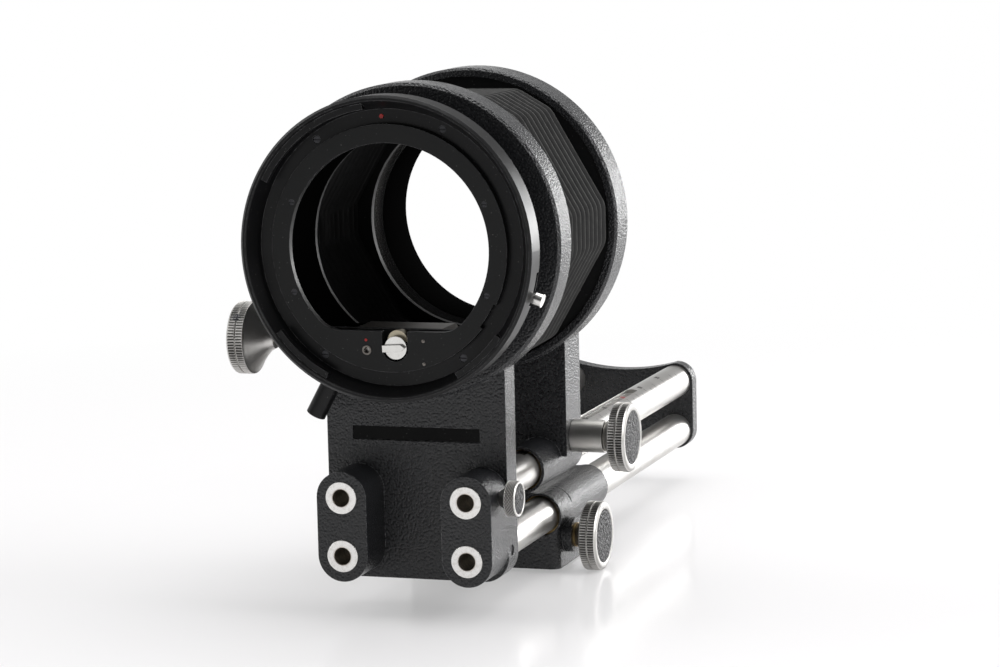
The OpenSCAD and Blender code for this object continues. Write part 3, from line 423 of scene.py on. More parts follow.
@dataclass(frozen=True)
class KnurledMetal(TurnedMetal):
    """Turned metal that is painted darker where its groove attribute is high: in the knurl valleys, and as
    painted shade on the knob faces.
    """

    # the darker colour where the groove attribute is high: the knurl valleys, and painted shade on the knob
    # faces
    dirt: tuple[float, float, float] = (0.07, 0.065, 0.06)

    def paint(self, bench: NodeBench, shader: Node) -> None:
        """Turned metal, dark where the piece's groove attribute is high."""
        super().paint(bench, shader)
        clean = shader.inputs["Base Color"].links[0].from_socket
        groove = Signal(bench, bench.node("ShaderNodeAttribute", attribute_name="groove").outputs["Fac"])
        bench.coat(shader, colour=bench.tint(groove.ramp(0.15, 0.85), clean, self.dirt))


@dataclass(frozen=True)
class RailChrome(Finish):
    """Satin chrome of a rail, with a filled scale engraved on its outer shoulder."""

    scaled: bool = False

    def paint(self, bench: NodeBench, shader: Node) -> None:
        """Chrome ground round the rail, with ticks every 5 mm where the rail is scaled."""
        place = bench.place()
        x, y, z = bench.axes(place)
        marks = bench.noise(bench.stretched(place, (0.06, 1.0, 0.06)), 0.25 * MM, 2.0)
        rub = bench.noise(bench.stretched(place, (1.0, 0.08, 1.0)), 1.6 * MM, 2.0)
        smudge = bench.noise(place, 8.0 * MM, 3.0)
        steel = bench.tint(smudge.ramp(0.4, 0.75) * 0.6, (0.62, 0.61, 0.59), (0.48, 0.465, 0.445))
        metal: Signal | float = 1.0
        if self.scaled:
            turn = (z - RAIL_HIGH * MM).angle_over(x - RAIL_X * MM)
            five = (y + 0.12 * MM).remainder(5 * MM) < 0.24 * MM
            ten = (y + 0.12 * MM).remainder(10 * MM) < 0.24 * MM
            short = (turn > math.radians(38)) * (turn < math.radians(54))
            long = (turn > math.radians(38)) * (turn < math.radians(64))
            along = (y > 14.5 * MM) * (y < 115.5 * MM)
            ink = ((five * short + ten * long) * along).ramp(0.0, 1.0)
            steel = bench.tint(ink, steel, (0.02, 0.018, 0.018))
            metal = 1.0 - ink
        bench.coat(shader, colour=steel, metallic=metal, roughness=marks * 0.04 + rub * 0.05 + 0.29,
                   normal=bench.bumped(marks, 0.001 * MM, bench.soft_edges(0.2 * MM)))


@dataclass(frozen=True)
class CameraMountMetal(Finish):
    """Polished mount at the back, blackened inside its bore."""

    bore_r: float = 30.75

    def paint(self, bench: NodeBench, shader: Node) -> None:
        """Bright metal with smudges."""
        smudge = bench.noise(bench.place(), 7.0 * MM, 3.0)
        bright = bench.tint(smudge.ramp(0.45, 0.75) * 0.5, (0.74, 0.73, 0.71), (0.56, 0.54, 0.51))
        bench.coat(shader, colour=bright, metallic=1.0, roughness=smudge * 0.12 + 0.15,
                   normal=bench.bumped(smudge, 0.01 * MM, bench.soft_edges(0.2 * MM)))

    def surface(self, bench: NodeBench, shader: Node) -> Socket:
        """Metal, matt black within the bore."""
        return bench.blackened_bore(shader, self.bore_r)


@dataclass(frozen=True)
class SocketPlate(Finish):
    """Polished ring of a rod socket with a brown, dirty bore."""

    bore_r: float = 2.45

    def paint(self, bench: NodeBench, shader: Node) -> None:
        """Bright metal that turns brown inside the bore, measured from the nearest bore's axis."""
        place = bench.place()
        x, y, z = bench.axes(place)
        side = x.size() - RAIL_X * MM
        middle = (RAIL_LOW + RAIL_HIGH) / 2
        half = (RAIL_HIGH - RAIL_LOW) / 2
        rise = (z - middle * MM).size() - half * MM
        inside = side.hypotenuse(rise).ramp((self.bore_r + 0.35) * MM, (self.bore_r + 0.02) * MM)
        dirt = bench.noise(place, 1.0 * MM, 4.0)
        clean = bench.tint(dirt.ramp(0.5, 0.8) * 0.5, (0.82, 0.81, 0.79), (0.55, 0.52, 0.48))
        rust = bench.tint(dirt.ramp(0.35, 0.65), (0.34, 0.31, 0.27), (0.5, 0.45, 0.38))
        bench.coat(shader, colour=bench.tint(inside, clean, rust), metallic=1.0,
                   roughness=inside * 0.25 + dirt * 0.12 + 0.16,
                   normal=bench.bumped(dirt, 0.012 * MM, bench.soft_edges(0.25 * MM)))


@dataclass(frozen=True)
class PebbleLeather(Finish):
    """Pebbled black leatherette of the knob discs."""

    cell: float = 0.8
    colour: tuple[float, float, float] = (0.008, 0.0082, 0.009)

    def paint(self, bench: NodeBench, shader: Node) -> None:
        """Raised pebbles with dull creases between them, the creases painted darker as shade."""
        place = bench.place()
        cells = bench.cells(bench.warped(place, 1.4 * MM, 0.5 * MM), self.cell * MM, 0.35)
        fine = bench.noise(place, 0.16 * MM, 2.0)
        crease = cells.ramp(0.38, 0.62)
        # painted shade: the creases between the pebbles get a darker colour than the pebbles
        pebble_with_crease_shade = bench.tint(crease, tuple(c * 1.5 for c in self.colour), (0.006, 0.006, 0.006))
        bench.coat(shader, colour=pebble_with_crease_shade, roughness=crease * 0.4 + fine * 0.12 + 0.14,
                   normal=bench.bumped(cells * -1.0 + fine * 0.12 + 1.0, 0.45 * MM), specular=0.28)


@dataclass(frozen=True)
class BellowsCloth(Finish):
    """Thin coated cloth of the bellows, paler along its outer folds: partly rubbed wear, partly a painted
    highlight on the crests.
    """

    colour: tuple[float, float, float] = (0.0075, 0.0075, 0.008)
    # paler colour of the outer fold crests: partly rubbed wear, partly a painted highlight
    fold: tuple[float, float, float] = (0.06, 0.059, 0.056)

    def paint(self, bench: NodeBench, shader: Node) -> None:
        """Fine weave on the piece's own map, and paler fold edges from its fold attribute: rubbed wear and a
        painted highlight on every outer crest.
        """
        place = bench.place()
        weave_map = bench.node("ShaderNodeUVMap", uv_map="Cloth").outputs[0]
        u, v, _ = bench.axes(weave_map)
        thread = ((u * 2400.0).sine() * (v * 2400.0).sine()).ramp(-1.0, 1.0)
        attribute = bench.node("ShaderNodeAttribute", attribute_name="fold")
        fold = Signal(bench, attribute.outputs["Fac"])
        wear = bench.noise(place, 2.2 * MM, 4.0)
        # outer fold crests painted paler: rubbed wear and a painted highlight on every crest
        rubbed = (fold ** 3.0) * wear.ramp(0.3, 0.62, 0.35, 1.0)
        bench.coat(shader, colour=bench.tint(rubbed, self.colour, self.fold), roughness=wear * 0.15 + 0.5,
                   normal=bench.bumped(thread * 0.6 + wear * 0.4, 0.03 * MM), specular=0.35, sheen=0.12)


@dataclass(frozen=True)
class Fill(Finish):
    """Paint that fills a mark or a dot."""

    colour: tuple[float, float, float] = (0.42, 0.012, 0.01)
    roughness: float = 0.4

    def paint(self, bench: NodeBench, shader: Node) -> None:
        """One colour with slightly uneven gloss and thickness."""
        place = bench.place()
        cloud = bench.noise(place, 0.4 * MM, 3.0)
        thin = tuple(c * 0.8 for c in self.colour)
        bench.coat(shader, colour=bench.tint(cloud, thin, self.colour),
                   roughness=cloud * 0.2 + (self.roughness - 0.1), normal=bench.bumped(cloud, 0.02 * MM))


ENAMEL = CrinkleEnamel("crinkle enamel", "crinkle_enamel")
SATIN = SatinBlack("satin black", "satin_black")
DULL_BLACK = SatinBlack("dull black", "satin_black", (0.007, 0.007, 0.0075), 0.55, 0.2)
PLATE_BLACK = SatinBlack("plate black", "satin_black", (0.0075, 0.0078, 0.008), 0.42, 0.24)
NAME_BLACK = SatinBlack("nameplate black", "satin_black", (0.003, 0.003, 0.003), 0.3, 0.08)
SCREW_BLACK = TurnedMetal("blackened screw", "satin_black", (0.06, 0.06, 0.065), (0.03, 0.03, 0.03), 0.38)
CHROME = TurnedMetal("satin chrome", "bright_chrome", (0.74, 0.73, 0.71), (0.55, 0.53, 0.5), 0.2)
SLEEVE_CHROME = TurnedMetal("brushed sleeve", "bright_chrome", (0.60, 0.59, 0.565), (0.50, 0.485, 0.46), 0.38,
                            (0.08, 1.0, 1.0), 0.004)
ALLOY = KnurledMetal("knob alloy", "satin_alloy", (0.60, 0.59, 0.57), (0.45, 0.435, 0.41), 0.36,
                     (0.15, 1.0, 1.0), 0.006)
STEEL = TurnedMetal("ground steel", "steel", (0.52, 0.51, 0.49), (0.33, 0.30, 0.27), 0.32)
DARK_STEEL = TurnedMetal("brown steel", "dark_steel", (0.20, 0.185, 0.17), (0.12, 0.10, 0.085), 0.42)
BRASS = TurnedMetal("old brass", "brass", (0.30, 0.215, 0.10), (0.15, 0.105, 0.05), 0.38)
NICKEL = TurnedMetal("worn nickel drum", "brass", (0.50, 0.45, 0.34), (0.30, 0.25, 0.17), 0.36)
SOCKET = SocketPlate("rod socket", "satin_alloy")
LEATHER = PebbleLeather("pebbled disc", "leather_inlay")
CLOTH = BellowsCloth("bellows cloth", "bellows_cloth")
RED = Fill("red fill", "red_paint")
INK = Fill("black fill", "bright_chrome", (0.014, 0.013, 0.013), 0.5)

CAD_DRESS: dict[Finish, tuple[str, ...]] = {
    ENAMEL: ("front_standard", "rear_standard", "tripod_block", "end_bracket"),
    SATIN: ("lens_mount_ring", "cable_socket"),
    PLATE_BLACK: ("throat_plate",),
    NAME_BLACK: ("nameplate",),
    DULL_BLACK: ("drive_plate", "front_bellows_frame", "rear_bellows_frame"),
    SCREW_BLACK: ("mount_screws", "grub_screws"),
    CHROME: ("drive_coupling", "lens_lock_lever"),
    CameraMountMetal("camera mount", "bright_chrome"): ("rear_mount",),
    SLEEVE_CHROME: ("focus_shaft_sleeves",),
    STEEL: ("focus_shaft", "tripod_shaft", "cocking_shaft", "focus_pinions", "tripod_pinions", "upper_racks",
            "lower_racks", "coupling_gear", "cocking_gear", "release_plunger", "release_pin", "tripod_socket",
            "rear_mount_screws", "bracket_screws"),
    DARK_STEEL: ("gearbox_cover", "release_pin_bush"),
    BRASS: ("coupling_bush", "cocking_shaft_bush", "rear_sleeve_bushes", "tripod_sleeve_bushes",
            "tripod_washer"),
    NICKEL: ("coupling_stop",),
    SOCKET: ("rod_sockets",),
    RED: ("index_dot",),
    RailChrome("scaled rail", "bright_chrome", True): ("rail_upper_right",),
    RailChrome("plain rail", "bright_chrome"): ("rail_upper_left", "rail_lower_right", "rail_lower_left"),
}
COVERED: dict[Finish, tuple[str, ...]] = {
    LEATHER: ("focus_knob_inlays", "tripod_knob_inlay", "clamp_screw_inlay"),
    CLOTH: ("bellows",),
    ALLOY: ("focus_knob_right", "focus_knob_left", "tripod_knob", "cocking_knob", "clamp_screw"),
}


# Modelling


class Workpiece:
    """One mesh that is modelled with Blender's operators, its foot at the origin and its axis along Z."""

    def __init__(self, name: str) -> None:
        """Deselects all and gives the piece its name."""
        self.name = name
        self.thing: Thing | None = None
        if bpy.context.object is not None and bpy.context.object.mode != "OBJECT":
            bpy.ops.object.mode_set(mode="OBJECT")
        bpy.ops.object.select_all(action="DESELECT")

    def take(self) -> None:
        """Names the primitive that was just added."""
        self.thing = bpy.context.object
        self.thing.name = self.name
        self.thing.data.name = self.name

    def pick(self, wanted: Callable[[Vector], bool]) -> None:
        """Selects the vertices, in edit mode, that a rule wants.

        Args:
            wanted: says whether a vertex at a place, in millimetres, is selected.
        """
        bpy.ops.mesh.select_mode(type="VERT")
        bpy.ops.mesh.select_all(action="DESELECT")
        mesh = bmesh.from_edit_mesh(self.thing.data)
        for vertex in mesh.verts:
            vertex.select_set(wanted(vertex.co / MM))
        mesh.select_flush(True)
        bmesh.update_edit_mesh(self.thing.data)

    def turn(self, profile: Sequence[tuple[float, float]], count: int) -> None:
        """Turns a profile round Z and caps its ends: a circle is extruded and scaled from point to point.

        Args:
            profile: radius and height of each point, in millimetres.
            count: points round the axis.
        """
        first_r, first_h = profile[0]
        bpy.ops.mesh.primitive_circle_add(vertices=count, radius=first_r * MM, location=(0, 0, 0))
        self.take()
        bpy.ops.object.mode_set(mode="EDIT")
        bpy.ops.mesh.select_all(action="SELECT")
        bpy.ops.transform.translate(value=(0, 0, first_h * MM))
        radius, height = first_r, first_h
        for next_r, next_h in profile[1:]:
            bpy.ops.mesh.extrude_edges_move(
                TRANSFORM_OT_translate={"value": (0, 0, (next_h - height) * MM)})
            share = next_r / radius
            bpy.ops.transform.resize(value=(share, share, 1), center_override=(0, 0, next_h * MM))
            radius, height = next_r, next_h
        bpy.ops.mesh.edge_face_add()
        self.pick(lambda p: abs(p.z - first_h) < 1e-4 and abs(math.hypot(p.x, p.y) - first_r) < 1e-3)
        bpy.ops.mesh.edge_face_add()
        bpy.ops.mesh.select_all(action="SELECT")
        bpy.ops.mesh.normals_make_consistent(inside=False)
        bpy.ops.object.mode_set(mode="OBJECT")

    def squeeze(self, wanted: Callable[[Vector], bool], share: float, depth: float = 1.0) -> None:
        """Scales chosen vertices towards the Z axis, and writes a value for them into the groove attribute
        that darkens their colour: their depth in a knurl groove, or painted shade on a knob's face.
        """
        bpy.ops.object.mode_set(mode="EDIT")
        self.pick(wanted)
        bpy.ops.transform.resize(value=(share, share, 1), center_override=(0, 0, 0))
        bpy.ops.object.mode_set(mode="OBJECT")
        mesh = self.thing.data
        marks = mesh.attributes.get("groove") or mesh.attributes.new("groove", "FLOAT", "POINT")
        for vertex, mark in zip(mesh.vertices, marks.data):
            if vertex.select:
                mark.value = depth

    def modifier(self, kind: str, **settings: object) -> None:
        """Adds a modifier and applies it.

        Args:
            kind: Blender's modifier type.
            settings: its values.
        """
        self.select()
        made = self.thing.modifiers.new(kind.title(), kind)
        for name, value in settings.items():
            setattr(made, name, value)
        bpy.ops.object.modifier_apply(modifier=made.name)

    def select(self) -> None:
        """Makes this piece the one that operators act on."""
        bpy.ops.object.select_all(action="DESELECT")
        self.thing.select_set(True)
        bpy.context.view_layer.objects.active = self.thing

    def stand(self, turn: Sequence[float], at: Sequence[float]) -> None:
        """Turns the piece and moves its foot, and puts both into its mesh.

        Args:
            turn: the angles round X, Y and Z, in radians.
            at: the place of the foot, in millimetres.
        """
        self.select()
        self.thing.rotation_euler = turn
        self.thing.location = Vector(at) * MM
        bpy.ops.object.transform_apply(location=True, rotation=True, scale=True)

    def finish(self, finish: Finish, body: str | None, smooth: float = 35.0,
               replaces: Iterable[str] = ()) -> Thing:
        """Shades the piece, gives it its material and lets it ride.

        Args:
            finish: its finish.
            body: the rigid body that carries it, or none where the piece bends between two.
            smooth: edges sharper than this many degrees stay sharp.
            replaces: the CAD nodes that it stands for.

        Returns:
            The finished object.
        """
        self.select()
        bpy.ops.object.shade_smooth_by_angle(angle=math.radians(smooth))
        self.thing.data.materials.clear()
        self.thing.data.materials.append(finish.material())
        if body is not None:
            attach(self.thing, body)
        names = tuple(replaces)
        if names:
            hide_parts(*names)
        log.info("%s: %d faces on %s", self.name, len(self.thing.data.polygons), body or "two bodies")
        return self.thing


# Sub-assemblies


@dataclass
class Knob:
    """A drive knob: a cone, a rim with two knurled rows and, where it has one, a leather disc."""

    name: str
    body: str
    facing: Facing
    foot: tuple[float, float, float]
    neck_r: float
    node: str
    cone: float = 3.0
    rim_r: float = 10.2
    rim_t: float = 5.1
    row: float = 1.72
    inlay_r: float = 7.8
    teeth: int = 78
    inlaid: bool = True
    shaft_r: float = 1.25
    pin_turn: float = 48.0

    def profile(self) -> list[tuple[float, float]]:
        """Returns the turned outline, from the shaft hole over the rim to the middle of the face."""
        r, c, face = self.rim_r, self.cone, self.cone + self.rim_t
        back = [(self.shaft_r, 0.0), (self.neck_r, 0.0), (self.neck_r + 0.15, 0.25)]
        flare = [(self.neck_r + (r - 1.0 - self.neck_r) * (t ** 1.35), 0.25 + (c - 0.55) * t)
                 for t in (0.2, 0.4, 0.6, 0.8, 1.0)]
        first, second = c + 0.32, c + 0.32 + self.row + 0.58
        rim = [(r - 0.55, c - 0.05), (r - 0.12, c + 0.12), (r, first), (r, first + self.row),
               (r - 0.1, first + self.row + 0.12), (r - 0.5, first + self.row + 0.18),
               (r - 0.5, second - 0.2), (r - 0.1, second - 0.12), (r, second), (r, second + self.row),
               (r - 0.14, second + self.row + 0.15)]
        if self.inlaid:
            front = [(r - 0.45, face - 0.22), (r - 0.85, face - 0.04), (r - 1.1, face),
                     (self.inlay_r + 0.3, face), (self.inlay_r + 0.1, face - 0.1),
                     (self.inlay_r + 0.05, face - 0.65)]
        else:
            front = [(r - 0.45, face - 0.22), (r - 0.9, face - 0.05), (r - 1.2, face), (r - 4.0, face - 0.05),
                     (r - 6.0, face - 0.1)]
        return back + flare + rim + front

    def build(self) -> list[Thing]:
        """Turns the knob, cuts its knurls and lays its disc or sets its pin.

        Returns:
            The finished pieces.
        """
        piece = Workpiece(self.name)
        piece.turn(self.profile(), self.teeth * 2)
        c, r = self.cone, self.rim_r
        step = math.pi / self.teeth

        def valley(p: Vector) -> bool:
            """Whether a rim point is the bottom of a knurl."""
            on_rows = c + 0.3 < p.z < c + 2 * self.row + 1.0 and math.hypot(p.x, p.y) > r - 0.05
            return on_rows and round(math.atan2(p.y, p.x) / step) % 2 == 1

        piece.squeeze(valley, (r - 0.34) / r)
        # painted shade: the face is marked 0.4 in the groove attribute, with no change of shape, so that the
        # alloy there is painted darker than the rim
        piece.squeeze(lambda p: p.z > c + self.rim_t - 0.3, 1.0, 0.4)
        piece.stand(self.facing.value, self.foot)
        made = [piece.finish(ALLOY, self.body, 28.0, (self.node,))]
        made.append(self.disc() if self.inlaid else self.pin())
        return made

    def pin(self) -> Thing:
        """Makes the dark end of the cross pin in the rim."""
        pin = Workpiece(f"{self.name}_pin")
        pin.turn([(1.1, -0.8), (1.1, 0.02), (0.9, 0.05), (0.3, 0.03)], 28)
        a, far = math.radians(self.pin_turn), self.rim_r - 0.1
        x, y, z = self.foot
        across = x - self.cone - self.rim_t / 2
        pin.stand((a, 0.0, 0.0), (across, y - far * math.sin(a), z + far * math.cos(a)))
        return pin.finish(SCREW_BLACK, self.body, 30.0)

    def disc(self) -> Thing:
        """Makes the domed leather disc that sits in the face."""
        face = self.cone + self.rim_t
        disc = Workpiece(f"{self.name}_disc")
        r = self.inlay_r
        disc.turn([(r, face - 0.62), (r, face - 0.22), (r - 0.12, face - 0.06), (r - 0.45, face + 0.01),
                   (r * 0.75, face + 0.05), (r * 0.45, face + 0.085), (r * 0.12, face + 0.095)], 72)
        disc.stand(self.facing.value, self.foot)
        return disc.finish(LEATHER, self.body, 40.0)


@dataclass
class ClampScrew:
    """The accessory rod's clamp screw: a diamond-knurled head with a leather disc."""

    body: str = "clamp"
    foot: tuple[float, float, float] = (27.8, -81.5, 32.7)
    head_r: float = 5.1
    head_t: float = 3.4
    stem_r: float = 1.5
    stem_in: float = 4.9
    collar: tuple[tuple[float, float], ...] = ((2.2, -2.0), (2.45, -1.6), (3.4, -0.05))
    inlay_r: float = 4.2
    diamonds: int = 30
    rows: int = 13
    groove: float = 0.42

    def build(self) -> list[Thing]:
        """Turns the head with a grid of points on its rim and pulls every other point in."""
        piece = Workpiece("clamp_screw_knurled")
        r, t = self.head_r, self.head_t
        low, high = 0.5, t - 0.5
        heights = [low + (high - low) * k / (self.rows - 1) for k in range(self.rows)]
        profile = [(self.stem_r, -self.stem_in), (self.stem_r, self.collar[0][1]), *self.collar]
        profile += [(self.collar[-1][0], 0.0), (r - 0.6, 0.0), (r - 0.35, 0.12), (r - 0.12, 0.3)]
        profile += [(r, h) for h in heights]
        q = self.inlay_r
        profile += [(r - 0.12, t - 0.26), (r - 0.4, t), (q + 0.2, t), (q + 0.08, t - 0.1),
                    (q + 0.03, t - 0.66)]
        piece.turn(profile, self.diamonds * 4)
        step = math.pi / (self.diamonds * 2)

        def at_height(p: Vector, wanted: int) -> bool:
            """Whether a rim point is a peak (2), a slope (1) or a groove (0) of the diamonds."""
            if math.hypot(p.x, p.y) < r - 0.02 or not low - 0.05 < p.z < high + 0.05:
                return False
            row = round((p.z - low) / (high - low) * (self.rows - 1))
            turn = round(math.atan2(p.y, p.x) / step)
            return min(abs((row + turn) % 4 - 2), abs((row - turn) % 4 - 2)) == wanted

        # the grooves, and half as much the slopes, are marked in the groove attribute to be painted darker
        piece.squeeze(lambda p: at_height(p, 0), (r - self.groove) / r)
        piece.squeeze(lambda p: at_height(p, 1), (r - self.groove / 2) / r, 0.4)
        piece.stand(Facing.RIGHT.value, self.foot)
        made = [piece.finish(ALLOY, self.body, 20.0, ("clamp_screw",))]
        disc = Workpiece("clamp_screw_disc")
        disc.turn([(q, t - 0.64), (q, t - 0.25), (q - 0.1, t - 0.08), (q - 0.35, t), (q * 0.6, t + 0.05),
                   (q * 0.15, t + 0.09)], 48)
        disc.stand(Facing.RIGHT.value, self.foot)
        made.append(disc.finish(LEATHER, self.body, 40.0, ("clamp_screw_inlay",)))
        return made


@dataclass
class PleatedBellows:
    """The pleated bellows between the two housings, twelve-sided with rounded folds."""

    start: float = -69.2
    end: float = -25.6
    long: float = 38.6
    short: float = 41.3
    deep: float = 5.6
    pleats: int = 11
    cloth: float = 0.45
    sharp: tuple[float, ...] = (0.0, 0.03, 0.5, 0.97, 1.0, 0.97, 0.5, 0.03)
    along: tuple[float, ...] = (0.0, 0.07, 0.25, 0.43, 0.5, 0.57, 0.75, 0.93)

    def corner(self, k: int) -> Vector:
        """Returns corner k of the outer fold, where a long and a short side meet."""
        a = math.radians(30 * k)
        near, far = (self.long, self.short) if k % 2 == 1 else (self.short, self.long)
        t = (far - near * math.cos(math.radians(30))) / math.sin(math.radians(30))
        return Vector((near * math.cos(a) - t * math.sin(a), near * math.sin(a) + t * math.cos(a), 0.0))

    def build(self) -> list[Thing]:
        """Extrudes the fold's outline from fold to fold, thickens it and marks its folds.

        Returns:
            The finished bellows.
        """
        piece = Workpiece("bellows_pleated")
        bpy.ops.mesh.primitive_circle_add(vertices=12, radius=self.long * MM, location=(0, 0, 0))
        piece.take()
        bpy.ops.object.mode_set(mode="EDIT")
        mesh = bmesh.from_edit_mesh(piece.thing.data)
        ordered = sorted(mesh.verts, key=lambda v: math.atan2(v.co.y, v.co.x) % math.tau)
        corners = sorted((self.corner(k) for k in range(12)), key=lambda c: math.atan2(c.y, c.x) % math.tau)
        for vertex, place in zip(ordered, corners):
            vertex.co = place * MM
        bmesh.update_edit_mesh(piece.thing.data)
        bpy.ops.mesh.select_all(action="SELECT")
        bpy.ops.mesh.bevel(offset=1.3 * MM, segments=2, affect="VERTICES")
        bpy.ops.mesh.select_all(action="SELECT")
        rings = self.rings()
        share = 1 - rings[0][1] / self.short
        bpy.ops.transform.resize(value=(share, share, 1), center_override=(0, 0, 0))
        height = rings[0][0]
        for next_h, drop in rings[1:]:
            bpy.ops.mesh.extrude_edges_move(TRANSFORM_OT_translate={"value": (0, 0, (next_h - height) * MM)})
            wanted = 1 - drop / self.short
            ratio = wanted / share
            bpy.ops.transform.resize(value=(ratio, ratio, 1), center_override=(0, 0, next_h * MM))
            share, height = wanted, next_h
        bpy.ops.mesh.select_all(action="SELECT")
        bpy.ops.mesh.normals_make_consistent(inside=False)
        bpy.ops.object.mode_set(mode="OBJECT")
        piece.modifier("SOLIDIFY", thickness=self.cloth * MM, offset=-1.0, use_even_offset=True)
        self.mark_folds(piece.thing.data)
        piece.stand(Facing.BACK.value, (0, self.start, AXIS_H))
        made = piece.finish(CLOTH, None, 50.0, ("bellows",))
        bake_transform(made)
        return [made]

    def rings(self) -> list[tuple[float, float]]:
        """Returns height and inward drop of each ring, from the front frame to the rear one."""
        pitch = (self.end - self.start) / self.pleats
        made = []
        for k in range(self.pleats):
            for at, out in zip(self.along, self.sharp):
                made.append((pitch * (k + at), self.deep * (1 - out)))
        made.append((pitch * self.pleats, self.deep))
        return made

    def mark_folds(self, mesh: bpy.types.Mesh) -> None:
        """Writes the fold attribute and the cloth's map while the axis is still Z.

        Args:
            mesh: the bellows' mesh.
        """
        pitch = (self.end - self.start) / self.pleats * MM
        marks = mesh.attributes.new("fold", "FLOAT", "POINT")
        for vertex, value in zip(mesh.vertices, marks.data):
            phase = (vertex.co.z / pitch) % 1.0
            value.value = max(0.0, 1.0 - abs(phase - 0.5) * 4.2)
        layer = mesh.uv_layers.new(name="Cloth")
        for loop in mesh.loops:
            place = mesh.vertices[loop.vertex_index].co
            layer.data[loop.index].uv = (math.atan2(place.y, place.x) * 0.04, place.z * 2.4)


@dataclass
class RailScale:
    """Numbers beside the ticks of the upper right rail."""

    rail_r: float = 5.4
    first: float = 20.0
    step: float = 20.0
    count: int = 5
    height: float = 1.7
    angle: float = 76.0

    def build(self) -> list[Thing]:
        """Sets generic numbers and wraps each round the rail."""
        made = []
        for k in range(self.count):
            place = self.first + self.step * k
            piece = Workpiece(f"scale_number_{k}")
            bpy.ops.object.text_add(location=(0, 0, 0))
            piece.take()
            words = piece.thing.data
            words.body = str(int(place - self.first + self.step))
            words.size, words.extrude = self.height * 1.35 * MM, 0.02 * MM
            words.align_x, words.align_y = "CENTER", "CENTER"
            bpy.ops.object.convert(target="MESH")
            piece.thing = bpy.context.object
            for vertex in piece.thing.data.vertices:
                turn = math.radians(self.angle) + vertex.co.y / (self.rail_r * MM)
                r = self.rail_r * MM + vertex.co.z + 0.005 * MM
                vertex.co = Vector((RAIL_X * MM + r * math.cos(turn), place * MM + vertex.co.x,
                                    RAIL_HIGH * MM + r * math.sin(turn)))
            made.append(piece.finish(RED if k == 2 else INK, "front", 30.0))
        return made


@dataclass
class RingDetails:
    """Small fittings of the lens mount: set screws in the ring's band, rivets and a dot on the plate."""

    band_r: float = 42.0
    band_y: float = -94.6
    band_turns: tuple[float, ...] = (57.0, 177.0, 297.0)
    plate_y: float = -96.1
    rivets: tuple[tuple[float, float], ...] = ((9.4, 78.3), (9.5, 72.0))
    rivet_r: float = 0.5
    dot: tuple[float, float] = (-7.2, 78.3)
    dot_r: float = 0.4

    def build(self) -> list[Thing]:
        """Sets the band's screws, then the rivets and the dot.

        Returns:
            The finished pieces.
        """
        made = self.band_screws()
        for k, (x, z) in enumerate(self.rivets):
            made.append(self.button(f"throat_rivet_{k}", (x, z), self.rivet_r, DARK_STEEL))
        made.append(self.button("release_dot", self.dot, self.dot_r, RED))
        return made

    def button(self, name: str, at: tuple[float, float], radius: float, finish: Finish) -> Thing:
        """Turns a low domed button and stands it on the throat plate.

        Args:
            name: the piece's name.
            at: its place in X and Z.
            radius: its radius.
            finish: its finish.

        Returns:
            The finished piece.
        """
        piece = Workpiece(name)
        piece.turn([(radius, -0.1), (radius, 0.03), (radius * 0.8, 0.12), (radius * 0.35, 0.17)], 24)
        piece.stand(Facing.FRONT.value, (at[0], self.plate_y, at[1]))
        return piece.finish(finish, "front", 40.0)

    def band_screws(self) -> list[Thing]:
        """Sets a recessed screw at each place round the band."""
        made = []
        for k, turn in enumerate(self.band_turns):
            piece = Workpiece(f"band_screw_{k}")
            piece.turn([(0.95, -0.25), (0.95, -0.02), (0.85, 0.012), (0.62, -0.02), (0.55, -0.2)], 28)
            a = math.radians(turn)
            across, rise = self.band_r * math.cos(a), AXIS_H + self.band_r * math.sin(a)
            piece.stand((0.0, math.pi / 2 - a, 0.0), (across, self.band_y, rise))
            made.append(piece.finish(SCREW_BLACK, "front", 30.0))
        return made


def knob_set() -> list[Knob]:
    """Returns the four drive knobs at their shafts."""
    focus = (-15.9, 39.1)
    return [
        Knob("focus_knob_r", "focus_drive", Facing.RIGHT, (36.8, *focus), 4.2, "focus_knob_right"),
        Knob("focus_knob_l", "focus_drive", Facing.LEFT, (-36.8, *focus), 4.2, "focus_knob_left"),
        Knob("tripod_knob_r", "tripod_drive", Facing.RIGHT, (27.2, -14.5, 9.05), 3.4, "tripod_knob"),
        Knob("cocking_knob_l", "cocking", Facing.LEFT, (-39.0, -83.0, 76.2), 2.9, "cocking_knob", cone=6.2,
             inlaid=False, shaft_r=1.62),
    ]


# Studio


@dataclass
class Softbox:
    """A square area lamp that looks at the unit."""

    name: str
    at: tuple[float, float, float]
    width: float
    watts: float

    def light(self, target: Vector) -> None:
        """Hangs the lamp and turns it to the target."""
        data = bpy.data.lights.new(self.name, "AREA")
        data.shape, data.size, data.energy = "SQUARE", self.width, self.watts
        lamp = bpy.data.objects.new(self.name, data)
        bpy.context.scene.collection.objects.link(lamp)
        lamp.location = self.at
        lamp.rotation_mode = "QUATERNION"
        lamp.rotation_quaternion = (target - lamp.location).to_track_quat("-Z", "Y")


